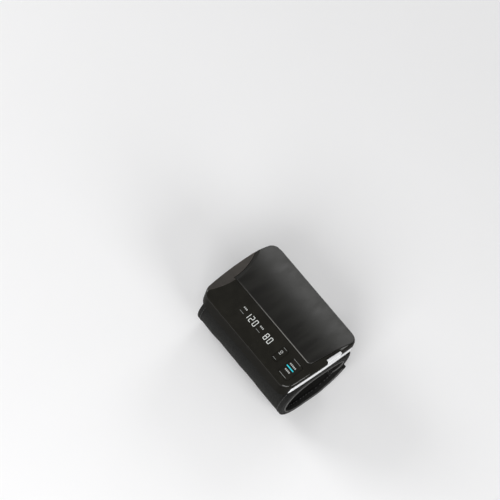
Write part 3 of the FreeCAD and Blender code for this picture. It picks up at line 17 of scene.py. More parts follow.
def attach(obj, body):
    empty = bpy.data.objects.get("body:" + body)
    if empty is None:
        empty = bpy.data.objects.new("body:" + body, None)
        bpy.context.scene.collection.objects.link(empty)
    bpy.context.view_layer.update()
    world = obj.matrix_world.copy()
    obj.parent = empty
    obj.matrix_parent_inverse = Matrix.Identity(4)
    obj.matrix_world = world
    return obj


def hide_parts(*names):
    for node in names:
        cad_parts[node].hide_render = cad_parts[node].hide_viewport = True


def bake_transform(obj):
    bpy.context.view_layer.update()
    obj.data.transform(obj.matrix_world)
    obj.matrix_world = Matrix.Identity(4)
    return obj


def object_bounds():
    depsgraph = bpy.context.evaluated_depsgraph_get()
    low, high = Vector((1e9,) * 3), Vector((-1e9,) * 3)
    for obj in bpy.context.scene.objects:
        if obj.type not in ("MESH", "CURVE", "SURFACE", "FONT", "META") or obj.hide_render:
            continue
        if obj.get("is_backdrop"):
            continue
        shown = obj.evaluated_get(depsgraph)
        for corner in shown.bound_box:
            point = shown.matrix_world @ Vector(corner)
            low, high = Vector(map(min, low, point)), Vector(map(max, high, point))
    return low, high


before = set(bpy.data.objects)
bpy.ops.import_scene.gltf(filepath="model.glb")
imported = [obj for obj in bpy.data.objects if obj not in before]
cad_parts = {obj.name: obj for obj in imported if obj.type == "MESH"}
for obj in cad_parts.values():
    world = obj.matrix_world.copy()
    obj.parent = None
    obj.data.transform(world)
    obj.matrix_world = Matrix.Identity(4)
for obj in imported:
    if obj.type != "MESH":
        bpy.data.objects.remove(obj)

LOG = logging.getLogger("arm_monitor")
CAD_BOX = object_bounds()
MM = 0.001
TINY = 1e-6
ON_FACE = 0.12 * MM
DOWN = -90.0
FULL_TURN = 360.0
Span = tuple[float, float]
Triple = tuple[float, float, float]
Colour = Triple
Section = list[tuple[float, float]]


class Value:
    """A number or colour that varies over a surface, which Python's operators work on."""

    def __init__(self, graph: "Graph", socket: bpy.types.NodeSocket) -> None:
        """Wrap one output socket of a graph."""
        self.graph = graph
        self.socket = socket

    def __add__(self, other: "float | Value") -> "Value":
        """Sum."""
        return self.graph.math("ADD", self, other)

    def __radd__(self, other: float) -> "Value":
        """Sum with a number first."""
        return self.graph.math("ADD", other, self)

    def __sub__(self, other: "float | Value") -> "Value":
        """Difference."""
        return self.graph.math("SUBTRACT", self, other)

    def __rsub__(self, other: float) -> "Value":
        """Difference from a number."""
        return self.graph.math("SUBTRACT", other, self)

    def __mul__(self, other: "float | Value") -> "Value":
        """Product."""
        return self.graph.math("MULTIPLY", self, other)

    def __rmul__(self, other: float) -> "Value":
        """Product with a number first."""
        return self.graph.math("MULTIPLY", other, self)

    def __lt__(self, other: "float | Value") -> "Value":
        """One where the value is under the other, else nought."""
        return self.graph.math("LESS_THAN", self, other)

    def __gt__(self, other: "float | Value") -> "Value":
        """One where the value is over the other, else nought."""
        return self.graph.math("GREATER_THAN", self, other)

    def __abs__(self) -> "Value":
        """Size without sign."""
        return self.graph.math("ABSOLUTE", self)

    def swing(self, width: float) -> "Value":
        """Swing of a noise about its middle, as wide as given."""
        return width * (self - 0.5)

    def wave(self, pitch: float) -> "Value":
        """Sine of a length, one turn in every pitch."""
        return self.graph.math("SINE", self * (math.tau / pitch))

    def ramp(self, start: float, end: float) -> "Value":
        """Smooth step over a span of the value.

        Args:
            start: where the step is nought.
            end: where it is one.

        Returns:
            The step.
        """
        settings = {"interpolation_type": "SMOOTHSTEP"}
        sockets = {"Value": self, "From Min": start, "From Max": end}
        return Value(self.graph, self.graph.node("ShaderNodeMapRange", settings, sockets).outputs["Result"])


class Graph:
    """Node tree of one material, with the shader that ends it."""

    def __init__(self, name: str) -> None:
        """Start a material with a plain shader.

        Args:
            name: the material's name.
        """
        self.material = bpy.data.materials.new(name)
        self.material.use_nodes = True
        self.tree = self.material.node_tree
        self.shader = self.tree.nodes["Principled BSDF"]

    def feed(self, socket: bpy.types.NodeSocket, content: object) -> None:
        """Fill one input.

        Args:
            socket: the input.
            content: a value to link, or a number, colour or vector to set.
        """
        if isinstance(content, Value):
            self.tree.links.new(content.socket, socket)
        elif isinstance(content, tuple) and socket.type == "RGBA":
            socket.default_value = (*content, 1.0)
        else:
            socket.default_value = content

    def node(self, kind: str, settings: dict[str, object],
             sockets: dict[str | int, object]) -> bpy.types.Node:
        """Add a node.

        Args:
            kind: the node's type.
            settings: properties of the node, which are set first.
            sockets: what each input holds or is linked to, by name or number.

        Returns:
            The new node.
        """
        made = self.tree.nodes.new(kind)
        for name, setting in settings.items():
            setattr(made, name, setting)
        for name, content in sockets.items():
            self.feed(made.inputs[name], content)
        return made

    def math(self, operation: str, *terms: "float | Value") -> Value:
        """One Math node on numbers and values."""
        made = self.node("ShaderNodeMath", {"operation": operation}, dict(enumerate(terms)))
        return Value(self, made.outputs[0])

    def parts(self, vector: Value) -> list[Value]:
        """The three parts of a vector."""
        return [Value(self, part) for part in self.node("ShaderNodeSeparateXYZ", {}, {0: vector}).outputs]

    def surface(self) -> Value:
        """Object coordinates of the surface, in metres."""
        return Value(self, self.node("ShaderNodeTexCoord", {}, {}).outputs["Object"])

    def place(self) -> list[Value]:
        """X, Y and Z of the surface, in metres."""
        return self.parts(self.surface())

    def cloth(self) -> list[Value]:
        """Distance across a cloth and along it, in metres."""
        vector = Value(self, self.node("ShaderNodeUVMap", {"uv_map": "cloth"}, {}).outputs["UV"])
        return self.parts(vector)[:2]

    def noise(self, pitch: float, detail: float = 2.0, stretch: Triple = (1.0, 1.0, 1.0),
              turn: float = 0.0) -> Value:
        """Cloudy noise on Object coordinates.

        Args:
            pitch: about how far apart its blots lie, in metres.
            detail: how many finer layers it has.
            stretch: how much longer its blots are along each axis.
            turn: turn of the pattern round Z, in radians.

        Returns:
            A value round one half.
        """
        scale = tuple(1 / (pitch * length) for length in stretch)
        sockets = {"Vector": self.surface(), "Rotation": (0.0, 0.0, turn), "Scale": scale}
        placed = Value(self, self.node("ShaderNodeMapping", {}, sockets).outputs[0])
        made = self.node("ShaderNodeTexNoise", {}, {"Vector": placed, "Scale": 1.0, "Detail": detail})
        return Value(self, made.outputs[0])

    def mix(self, first: object, second: object, share: "float | Value") -> Value:
        """Blend two colours by a share of the second."""
        made = self.node("ShaderNodeMix", {"data_type": "RGBA"}, {0: share, 6: first, 7: second})
        return Value(self, made.outputs[2])

    def bump(self, height: Value, depth: float) -> Value:
        """Surface normal from a height of nought to one, as deep as given in metres."""
        made = self.node("ShaderNodeBump", {}, {"Strength": 1.0, "Distance": depth, "Height": height})
        return Value(self, made.outputs[0])

    def finish(self, **sockets: object) -> bpy.types.Material:
        """Feed the shader.

        Args:
            sockets: what its inputs hold, with underscores for the spaces in their names.

        Returns:
            The finished material.
        """
        for name, content in sockets.items():
            self.feed(self.shader.inputs[name.replace("_", " ")], content)
        return self.material

    def dull(self, share: Value, **sockets: object) -> None:
        """Lay a second shader over the first.

        Args:
            share: how much of the second shows.
        """
        named = {name.replace("_", " "): content for name, content in sockets.items()}
        second = self.node("ShaderNodeBsdfPrincipled", {}, named)
        first, over = Value(self, self.shader.outputs[0]), Value(self, second.outputs[0])
        mixed = Value(self, self.node("ShaderNodeMixShader", {}, {0: share, 1: first, 2: over}).outputs[0])
        self.feed(self.tree.nodes["Material Output"].inputs["Surface"], mixed)


@dataclass(frozen=True)
class Finish:
    """A named finish, whose material is made once."""

    name: str

    def material(self) -> bpy.types.Material:
        """The material, made on first use."""
        label = f"{self.name}_finish"
        return bpy.data.materials.get(label) or self.paint(Graph(label))

    def paint(self, graph: Graph) -> bpy.types.Material:
        """Build the nodes of the finish in an empty material."""
        raise NotImplementedError


@dataclass(frozen=True)
class Moulding(Finish):
    """Moulded plastic or rubber with a fine eroded skin and faint flow marks."""

    colour: Colour
    shade: Colour
    roughness: float
    skin_pitch: float = 0.5 * MM
    skin_depth: float = 0.012 * MM
    skin_gloss: float = 0.12
    flow_pitch: float = 14 * MM
    flow_range: Span = (0.3, 0.7)
    flow_gloss: float = 0.06

    def paint(self, graph: Graph) -> bpy.types.Material:
        """Flow marks in the colour, the skin in the bump and the gloss.

        Args:
            graph: an empty material.

        Returns:
            The material, finished.
        """
        flow = graph.noise(self.flow_pitch, detail=3.0)
        skin = graph.noise(self.skin_pitch)
        return graph.finish(
            Base_Color=graph.mix(self.shade, self.colour, flow.ramp(*self.flow_range)),
            Roughness=self.roughness + skin.swing(self.skin_gloss) + flow.swing(self.flow_gloss),
            Normal=graph.bump(skin, self.skin_depth),
        )


@dataclass(frozen=True)
class Arch:
    """The curved roof, a cylinder about an axis along X, and the facet at its far end."""

    radius: float = 110.0 * MM
    axis_z: float = -34.6 * MM
    facet_x: float = -48.0 * MM
    facet_slope: float = math.radians(25.0)
    facet_turn: float = math.asin(11.0 / 110.0)

    def height(self, y: float) -> float:
        """Level of the roof at a distance from the crest."""
        return self.axis_z + math.sqrt(self.radius ** 2 - y ** 2)

    def reach(self, y: Value, z: Value) -> Value:
        """How far a surface lies from the axis."""
        rise = z - self.axis_z
        return y.graph.math("SQRT", y * y + rise * rise)


ARCH = Arch()


@dataclass(frozen=True)
class SmokedCover(Finish):
    """High-gloss near-black cover, with a satin facet at the far end and dull side walls, which are painted a
    little darker than the roof as painted shade.
    """

    colour: Colour = (0.0056, 0.0049, 0.0026)
    haze: Colour = (0.0095, 0.0086, 0.0056)
    roughness: float = 0.10
    cloud_pitch: float = 9 * MM
    cloud_range: Span = (0.35, 0.75)
    cloud_gloss: float = 0.06
    skin_pitch: float = 1.1 * MM
    skin_depth: float = 0.006 * MM
    facet_colour: Colour = (0.054, 0.047, 0.041)
    facet_gloss: float = 0.26
    facet_least: float = 0.52
    facet_gain: float = 0.3
    facet_span: Span = (-38 * MM, 8 * MM)
    facet_cloud: float = 0.5
    # Painted shade: the side walls are painted darker than the roof.
    painted_side_shade: Colour = (0.0040, 0.0036, 0.0024)
    side_band: float = 1.5 * MM
    side_roughness: float = 0.36
    side_gloss: float = 0.1
    side_shine: float = 0.02

    def paint(self, graph: Graph) -> bpy.types.Material:
        """Pick out the facet and the side walls by their places.

        Args:
            graph: an empty material.

        Returns:
            The material, finished.
        """
        x, y, z = graph.place()
        level = (z - ARCH.axis_z) * math.cos(ARCH.facet_turn) - y * math.sin(ARCH.facet_turn)
        over = level - ARCH.radius + (ARCH.facet_x - x) * math.tan(ARCH.facet_slope)
        facet = (abs(over) < ON_FACE) * (x < ARCH.facet_x)
        side = 1.0 - ARCH.reach(y, z).ramp(ARCH.radius - self.side_band, ARCH.radius - ON_FACE)
        cloud = graph.noise(self.cloud_pitch, detail=4.0)
        skin = graph.noise(self.skin_pitch)
        roof = graph.mix(self.colour, self.haze, cloud.ramp(*self.cloud_range))
        grain = graph.bump(skin, self.skin_depth)
        shown = self.facet_least + self.facet_gain * y.ramp(*self.facet_span) + cloud.swing(self.facet_cloud)
        # Painted shade: the side walls take a darker colour than the roof, as well as a dull finish.
        graph.dull(
            side * (1.0 - facet),
            Base_Color=graph.mix(self.painted_side_shade, self.colour, cloud),
            Roughness=self.side_roughness + skin.swing(self.side_gloss),
            Normal=grain,
            Specular_IOR_Level=self.side_shine,
        )
        return graph.finish(
            Base_Color=graph.mix(roof, self.facet_colour, facet * shown),
            Roughness=self.roughness + self.facet_gloss * facet + cloud.swing(self.cloud_gloss),
            Normal=grain,
        )


@dataclass(frozen=True)
class SatinPanel(Finish):
    """Satin lacquer whose colour carries painted light: a faint diagonal drift painted as reflection streaks,
    a painted sheen that lightens it toward the long side, and a painted highlight along the edge at the
    display.
    """

    dark: Colour = (0.0030, 0.0026, 0.0014)
    light: Colour = (0.0142, 0.0140, 0.0108)
    roughness: float = 0.40
    edge_y: float = -13.0 * MM
    # Painted sheen: the colour lightens from the edge at the display to this line on the long side.
    sheen_side_y: float = 41.0 * MM
    painted_sheen_tone: float = 0.6
    grain_turn: float = math.radians(-34)
    drift_pitch: float = 7 * MM
    drift_stretch: Triple = (1.0, 7.0, 1.0)
    drift_middle: float = 0.45
    # Painted reflection streaks: how strongly the diagonal drift lightens and darkens the colour.
    reflection_streak_tone: float = 1.3
    drift_gloss: float = 0.26
    line_pitch: float = 0.5 * MM
    line_stretch: Triple = (1.0, 40.0, 1.0)
    line_depth: float = 0.004 * MM
    line_gloss: float = 0.05
    # Painted highlight along the edge at the display: its colour, width, fade along the arm and the extra
    # gloss it gets.
    edge_highlight_colour: Colour = (0.17, 0.166, 0.156)
    edge_highlight_width: float = 0.62 * MM
    edge_highlight_span: Span = (-58 * MM, 22 * MM)
    edge_highlight_gloss: float = 0.12

    def paint(self, graph: Graph) -> bpy.types.Material:
        """Drift as painted reflection streaks and fine lines in the colour, a painted sheen toward the long
        side, and a painted highlight along the edge at the display.

        Args:
            graph: an empty material.

        Returns:
            The material, finished.
        """
        x, y, z = graph.place()
        drift = graph.noise(self.drift_pitch, detail=3.0, stretch=self.drift_stretch, turn=self.grain_turn)
        lines = graph.noise(self.line_pitch, stretch=self.line_stretch, turn=self.grain_turn)
        # Painted sheen toward the long side, plus the drift as painted reflection streaks.
        across = y.ramp(self.edge_y, self.sheen_side_y)
        tone = across * self.painted_sheen_tone + self.reflection_streak_tone * (drift - self.drift_middle)
        body = graph.mix(self.dark, self.light, tone)
        # Painted highlight: a light strip along the edge at the display, fading toward the far end.
        edge = (y < self.edge_y + self.edge_highlight_width) * (ARCH.reach(y, z) > ARCH.radius + ON_FACE)
        painted_edge_highlight = edge * x.ramp(*self.edge_highlight_span)
        gloss = drift.swing(self.drift_gloss) + lines.swing(self.line_gloss) - self.edge_highlight_gloss * painted_edge_highlight
        return graph.finish(
            Base_Color=graph.mix(body, self.edge_highlight_colour, painted_edge_highlight),
            Roughness=self.roughness + gloss,
            Normal=graph.bump(lines, self.line_depth),
        )


@dataclass(frozen=True)
class Plated(Finish):
    """Plated metal with drawing lines along X and a little tarnish."""

    colour: Colour
    tarnish: Colour
    roughness: float = 0.28
    line_pitch: float = 0.25 * MM
    line_stretch: Triple = (30.0, 1.0, 1.0)
    line_depth: float = 0.004 * MM
    line_gloss: float = 0.2
    spot_pitch: float = 3 * MM
    spot_range: Span = (0.5, 0.8)
    spot_gloss: float = 0.15

    def paint(self, graph: Graph) -> bpy.types.Material:
        """Lines in the gloss, tarnish in the colour.

        Args:
            graph: an empty material.

        Returns:
            The material, finished.
        """
        lines = graph.noise(self.line_pitch, stretch=self.line_stretch)
        spots = graph.noise(self.spot_pitch, detail=4.0).ramp(*self.spot_range)
        return graph.finish(
            Base_Color=graph.mix(self.colour, self.tarnish, spots),
            Roughness=self.roughness + lines.swing(self.line_gloss) + self.spot_gloss * spots,
            Normal=graph.bump(lines, self.line_depth),
            Metallic=1.0,
        )


@dataclass(frozen=True)
class Laminate(Finish):
    """Circuit board with tracks under its solder mask."""

    mask: Colour = (0.012, 0.105, 0.045)
    track: Colour = (0.030, 0.20, 0.075)
    roughness: float = 0.34
    haze_pitch: float = 2 * MM
    haze_gloss: float = 0.1
    patch_pitch: float = 12 * MM
    patch_split: Span = (0.5, 0.53)
    track_pitches: Span = (1.3 * MM, 1.7 * MM)
    track_levels: Span = (0.45, 0.5)
    track_height: float = 0.03 * MM

    def paint(self, graph: Graph) -> bpy.types.Material:
        """Two sets of tracks, each shown in patches.

        Args:
            graph: an empty material.

        Returns:
            The material, finished.
        """
        x, y, _ = graph.place()
        patch = graph.noise(self.patch_pitch, detail=1.0)
        along = (y.wave(self.track_pitches[0]) > self.track_levels[0]) * (patch < self.patch_split[0])
        across = (x.wave(self.track_pitches[1]) > self.track_levels[1]) * (patch > self.patch_split[1])
        tracks = along + across
        return graph.finish(
            Base_Color=graph.mix(self.mask, self.track, tracks),
            Roughness=self.roughness + graph.noise(self.haze_pitch).swing(self.haze_gloss),
            Normal=graph.bump(tracks, self.track_height),
        )


@dataclass(frozen=True)
class CellWrap(Finish):
    """Printed sleeve of a dry cell: a dark body, a pale ring and a bare metal end."""

    body: Colour = (0.018, 0.028, 0.055)
    ring: Colour = (0.42, 0.36, 0.24)
    metal: Colour = (0.62, 0.61, 0.58)
    length: float = 44.7 * MM
    ring_span: Span = (31.5 * MM, 42.6 * MM)
    sleeve_span: Span = (0.7 * MM, 43.1 * MM)
    sleeve_metal: float = 0.35
    bare_metal: float = 0.6
    roughness: float = 0.22
    scuff_pitch: float = 1.6 * MM
    scuff_range: Span = (0.45, 0.8)
    scuff_gloss: float = 0.25
    scuff_depth: float = 0.01 * MM

    def paint(self, graph: Graph) -> bpy.types.Material:
        """Rings counted along the row, and metal at the ends of each cell.

        Args:
            graph: an empty material.

        Returns:
            The material, finished.
        """
        x, _, _ = graph.place()
        along = graph.math("PINGPONG", x, self.length)
        ring = (along > self.ring_span[0]) * (along < self.ring_span[1])
        ends = (along > self.sleeve_span[1]) + (along < self.sleeve_span[0])
        bare = graph.math("MINIMUM", ends, 1.0)
        scuff = graph.noise(self.scuff_pitch, detail=4.0)
        printed = graph.mix(self.body, self.ring, ring)
        return graph.finish(
            Base_Color=graph.mix(printed, self.metal, bare),
            Roughness=self.roughness + self.scuff_gloss * scuff.ramp(*self.scuff_range),
            Metallic=self.sleeve_metal + self.bare_metal * bare,
            Normal=graph.bump(scuff, self.scuff_depth),
        )


@dataclass(frozen=True)
class Weave(Finish):
    """Plain-woven cloth: threads over and under each other, with slubs and a soft nap."""

    warp: Colour
    weft: Colour
    pitch: float
    depth: float
    ribs: float = 1.0
    roughness: float = 0.88
    thread_gloss: float = 0.12
    thread_tone: float = 0.55
    slub_pitch: float = 2.4 * MM
    slub_tone: float = 0.9
    nap_pitch: float = 0.16 * MM
    nap_tone: float = 0.5
    nap_height: float = 0.35
    tone_range: Span = (-0.1, 0.9)
    shine: float = 0.1
    sheen: float = 0.03
    sheen_roughness: float = 0.5

    def paint(self, graph: Graph) -> bpy.types.Material:
        """Threads from the cloth's own directions, ribbed where one pitch is longer.

        Args:
            graph: an empty material.

        Returns:
            The material, finished.
        """
        across, along = graph.cloth()
        warp, weft = across.wave(2 * self.pitch), along.wave(2 * self.pitch * self.ribs)
        over = warp * weft > 0.0
        threads = abs(warp) * over + abs(weft) * (1.0 - over)
        slub = graph.noise(self.slub_pitch, detail=3.0)
        nap = graph.noise(self.nap_pitch)
        tone = threads * self.thread_tone + slub.swing(self.slub_tone) + nap.swing(self.nap_tone)
        return graph.finish(
            Base_Color=graph.mix(self.weft, self.warp, tone.ramp(*self.tone_range)),
            Roughness=self.roughness - self.thread_gloss * threads,
            Normal=graph.bump(threads + nap * self.nap_height, self.depth),
            Specular_IOR_Level=self.shine,
            Sheen_Weight=self.sheen,
            Sheen_Roughness=self.sheen_roughness,
        )


@dataclass(frozen=True)
class Pile(Finish):
    """Hook or loop side of a touch fastener: rows of tufts."""

    tuft: Colour
    ground: Colour
    pitch: float
    depth: float
    roughness: float = 0.9
    tuft_gloss: float = 0.15
    tuft_range: Span = (0.1, 0.8)
    fuzz_share: float = 1 / 3

    def paint(self, graph: Graph) -> bpy.types.Material:
        """Tufts in staggered rows, broken up by noise.

        Args:
            graph: an empty material.

        Returns:
            The material, finished.
        """
        across, along = graph.cloth()
        fuzz = graph.noise(self.pitch * self.fuzz_share, detail=3.0)
        rows = across.wave(self.pitch) * along.wave(self.pitch)
        tufts = (abs(rows) + fuzz.swing(1.0)).ramp(*self.tuft_range)
        return graph.finish(
            Base_Color=graph.mix(self.ground, self.tuft, tufts),
            Roughness=self.roughness - self.tuft_gloss * tufts,
            Normal=graph.bump(tufts, self.depth),
        )


@dataclass(frozen=True)
class Mark(Finish):
    """Lit or printed mark, a little uneven as behind a smoked cover; its glow is real light on lit marks and
    painted light on printed ones.
    """

    colour: Colour
    # Glow of the mark; on a printed mark this glow is painted light.
    glow: float
    dim_share: float = 0.82
    grain_pitch: float = 0.4 * MM
    grain_range: Span = (0.3, 0.6)
    grain_gloss: float = 0.1
    roughness: float = 0.3

    def paint(self, graph: Graph) -> bpy.types.Material:
        """The same colour as paint and as light.

        Args:
            graph: an empty material.

        Returns:
            The material, finished.
        """
        grain = graph.noise(self.grain_pitch)
        dim = tuple(self.dim_share * part for part in self.colour)
        tone = graph.mix(dim, self.colour, grain.ramp(*self.grain_range))
        return graph.finish(
            Base_Color=tone,
            Emission_Color=tone,
            Emission_Strength=self.glow,
            Roughness=self.roughness + grain.swing(self.grain_gloss),
        )


@dataclass(frozen=True)
class Backdrop(Finish):
    """Pale paper sweep."""

    colour: Colour = (0.93, 0.93, 0.935)
    shade_share: float = 0.985
    tooth_pitch: float = 60 * MM
    roughness: float = 0.9

    def paint(self, graph: Graph) -> bpy.types.Material:
        """A hint of paper tooth.

        Args:
            graph: an empty material.

        Returns:
            The material, finished.
        """
        tooth = graph.noise(self.tooth_pitch, detail=3.0)
        shade = tuple(self.shade_share * part for part in self.colour)
        return graph.finish(Base_Color=graph.mix(shade, self.colour, tooth), Roughness=self.roughness)


class Finishes(Enum):
    """Every finish of the object."""

    COVER = SmokedCover("smoked_cover")
    PANEL = SatinPanel("satin_panel")
    SHELL = Moulding("white_shell", (0.80, 0.81, 0.82), (0.74, 0.75, 0.76), 0.32)
    TRAY = Moulding("tray_plastic", (0.022, 0.022, 0.024), (0.016, 0.016, 0.017), 0.55, 0.7 * MM, 0.03 * MM)
    BOARD = Laminate("board_laminate")
    GLASS = Moulding("display_glass", (0.008, 0.008, 0.010), (0.006, 0.006, 0.008), 0.10, 2 * MM, 0.004 * MM)
    SWITCH = Moulding("switch_black", (0.012, 0.012, 0.012), (0.008, 0.008, 0.008), 0.45)
    STEEL = Plated("plated_steel", (0.62, 0.61, 0.59), (0.40, 0.38, 0.35))
    CELL = CellWrap("cell_wrap")
    RUBBER = Moulding("seal_rubber", (0.018, 0.018, 0.018), (0.012, 0.012, 0.012), 0.72, 0.4 * MM, 0.03 * MM)
    CURLER = Moulding("curler_plastic", (0.56, 0.57, 0.58), (0.50, 0.51, 0.52), 0.42)
    SLEEVE = Weave("sleeve_cloth", (0.0160, 0.0162, 0.0150), (0.0076, 0.0077, 0.0070), 0.55 * MM, 0.10 * MM)
    LINING = Weave("lining_cloth", (0.0115, 0.0115, 0.0105), (0.0065, 0.0065, 0.0060), 0.32 * MM, 0.06 * MM)
    TAPE = Weave("binding_tape", (0.019, 0.019, 0.0178), (0.01, 0.01, 0.0094), 0.30 * MM, 0.08 * MM, 3.0)
    PIPING = Weave("piping_cord", (0.15, 0.15, 0.146), (0.085, 0.085, 0.082), 0.28 * MM, 0.06 * MM)
    THREAD = Moulding("sewing_thread", (0.085, 0.085, 0.085), (0.055, 0.055, 0.055), 0.7, 0.2 * MM, 0.03 * MM)
    HOOKS = Pile("hook_pad", (0.030, 0.030, 0.031), (0.010, 0.010, 0.010), 1.3 * MM, 0.35 * MM)
    LOOPS = Pile("loop_pad", (0.050, 0.050, 0.052), (0.022, 0.022, 0.022), 0.8 * MM, 0.22 * MM)
    LIT = Mark("lit_white", (0.66, 0.68, 0.66), 0.22)
    SOFT = Mark("soft_white", (0.42, 0.43, 0.42), 0.12)
    DIM = Mark("dim_white", (0.20, 0.205, 0.20), 0.03)
    TEAL = Mark("lit_teal", (0.02, 0.42, 0.50), 0.45)
    PAPER = Backdrop("pale_sweep")

    def material(self) -> bpy.types.Material:
        """The finish's material."""
        return self.value.material()


CAD_FINISHES: dict[Finishes, tuple[str, ...]] = {
    Finishes.COVER: ("top_cover", "start_key", "memory_key"),
    Finishes.PANEL: ("battery_cover",),
    Finishes.SHELL: ("rear_case", "sync_button"),
    Finishes.TRAY: ("battery_tray", "air_manifold", "air_port", "pump_head"),
    Finishes.BOARD: ("main_board",),
    Finishes.GLASS: ("display_module",),
    Finishes.SWITCH: ("start_switch", "memory_switch", "sync_switch", "pressure_sensor"),
    Finishes.STEEL: ("case_screws", "board_screws", "cuff_rivets", "contact_bridge", "contact_positive",
                     "contact_negative", "pump_motor", "exhaust_valve"),
    Finishes.CELL: ("battery_1", "battery_2", "battery_3", "battery_4"),
    Finishes.RUBBER: ("display_gasket", "port_seal"),
    Finishes.CURLER: ("curler_sheet",),
}


class Body(Enum):
    """Bodies that new pieces ride on."""

    MONITOR = "monitor"
    START_KEY = "start_key"
    MEMORY_KEY = "memory_key"
    TAIL = "cuff_tail"


def add_piece(name: str, bm: bmesh.types.BMesh, finish: Finishes) -> bpy.types.Object:
    """Make an object of a finished bmesh.

    Args:
        name: the piece's name.
        bm: its mesh, which is freed.
        finish: what it is dressed in.

    Returns:
        The new object, at the origin.
    """
    mesh = bpy.data.meshes.new(name)
    bm.to_mesh(mesh)
    bm.free()
    mesh.materials.append(finish.material())
    mesh.shade_smooth()
    made = bpy.data.objects.new(name, mesh)
    bpy.context.scene.collection.objects.link(made)
    LOG.info("%s: %d faces", name, len(mesh.polygons))
    return made


def assign(piece: bpy.types.Object, body: Body, slot: str, node: str | None = None) -> None:
    """Hang a piece on the body that it rides on, and hide the solid that it replaces.

    Args:
        piece: the piece.
        body: what it rides on.
        slot: not used.
        node: the solid that it replaces, if any.
    """
    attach(piece, body.value)
    if node:
        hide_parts(node)


def thicken(piece: bpy.types.Object, thickness: float) -> None:
    """Give a sheet its thickness behind the face that shows.

    Args:
        piece: the sheet.
        thickness: its thickness.
    """
    wall = piece.modifiers.new("thickness", "SOLIDIFY")
    wall.thickness = thickness
    wall.offset = -1.0


def soften(piece: bpy.types.Object) -> None:
    """Round a coarse piece by one subdivision."""
    smooth = piece.modifiers.new("soft", "SUBSURF")
    smooth.levels = smooth.render_levels = 1


def new_points(geometry: list) -> list[bmesh.types.BMVert]:
    """The points among what an operator made."""
    return [item for item in geometry if isinstance(item, bmesh.types.BMVert)]


@dataclass(frozen=True)
class Bend:
    """One arc of the outer face of the cuff, in the plane across the arm; angles in degrees."""

    y: float
    z: float
    radius: float
    start: float
    end: float

    def point(self, depth: float, degrees: float, x: float = 0.0) -> Vector:
        """Point on the arc or under it.

        Args:
            depth: how deep it lies under the face.
            degrees: its angle.
            x: its place along the arm.

        Returns:
            The point.
        """
        angle = math.radians(degrees)
        reach = self.radius - depth
        return Vector((x, self.y + reach * math.cos(angle), self.z + reach * math.sin(angle)))

    def length(self, depth: float = 0.0) -> float:
        """Length of the arc at a depth under the face."""
        return self.radius * math.radians(self.end - self.start) * (1 - depth / self.radius)

    def part(self, start: float, end: float) -> "Bend":
        """The same arc between other angles."""
        return Bend(self.y, self.z, self.radius, start, end)


@dataclass(frozen=True)
class CuffLoop:
    """Course of the pre-formed cuff across the arm, from the wing's free edge to the fold of its tail."""

    far: float = -55.0 * MM
    near: float = 60.0 * MM
    top_radius: float = 94.2 * MM
    half_width: float = 40.0 * MM
    tail_radius: float = 38.0 * MM
    tail_room: float = 6.5 * MM
    heel_y: float = 12.0 * MM
    heel_radius: float = 12.0 * MM
    curl_radius: float = 12.0 * MM
    curl_end: float = -125.0
    fold: float = -21.0
    fold_gap: float = 0.3 * MM
    tail_end: float = 17.94
    depth: float = 5.4 * MM
    step: float = 2.0 * MM

    def span(self, inset: float) -> Span:
        """Where a band starts and ends along the arm, set in from both ends."""
        return self.far + inset, self.near - inset

    def bends(self) -> list[Bend]:
        """Work out the arcs of the band from its sizes.

        Returns:
            The arcs, wing first.
        """
        slope = 2 * (self.top_radius - self.half_width - ARCH.axis_z)
        rest = self.half_width ** 2 + ARCH.axis_z ** 2 - self.top_radius ** 2
        side = (math.sqrt(slope ** 2 - 4 * rest) - slope) / 2
        middle = self.half_width - side
        left = math.degrees(math.atan2(side - ARCH.axis_z, -middle))
        tail_y = self.half_width - self.tail_radius
        inner = self.top_radius - self.curl_radius
        drop = math.sqrt(inner ** 2 - (self.half_width - self.curl_radius) ** 2)
        level = ARCH.axis_z + drop - self.tail_radius
        room = self.tail_radius - self.tail_room
        curl_y = tail_y + math.sqrt(room ** 2 - level ** 2) - self.curl_radius
        rise = math.sqrt(inner ** 2 - curl_y ** 2)
        turn = math.degrees(math.atan2(rise, curl_y))
        half_bend = math.atan2(self.heel_y - tail_y, self.tail_radius)
        heel_y = self.heel_y - self.heel_radius * math.tan(half_bend)
        bend_end = 2 * math.degrees(half_bend) + DOWN
        fold = self.fold - math.degrees(self.fold_gap / self.tail_radius)
        return [
            Bend(curl_y, ARCH.axis_z + rise, self.curl_radius, self.curl_end, turn),
            Bend(0.0, ARCH.axis_z, self.top_radius, turn, left),
            Bend(-middle, side, side, left, DOWN + FULL_TURN),
            Bend(heel_y, self.heel_radius, self.heel_radius, DOWN, bend_end),
            Bend(tail_y, self.tail_radius, self.tail_radius, bend_end, fold),
        ]

    def tail(self) -> Bend:
        """The arc of the closed tail."""
        return self.bends()[-1].part(self.fold, self.tail_end)


LOOP = CuffLoop()


def straight_run(last: Bend, bend: Bend, depth: float = 0.0) -> Vector:
    """The way from the end of one arc to the start of the next, at a depth under the face."""
    return bend.point(depth, bend.start) - last.point(depth, last.end)


def developed(bends: list[Bend], depth: float) -> float:
    """Length of a course at a depth under the outer face, laid out flat."""
    turns = sum(bend.length(depth) for bend in bends)
    return turns + sum(straight_run(last, bend).length for last, bend in zip(bends, bends[1:]))


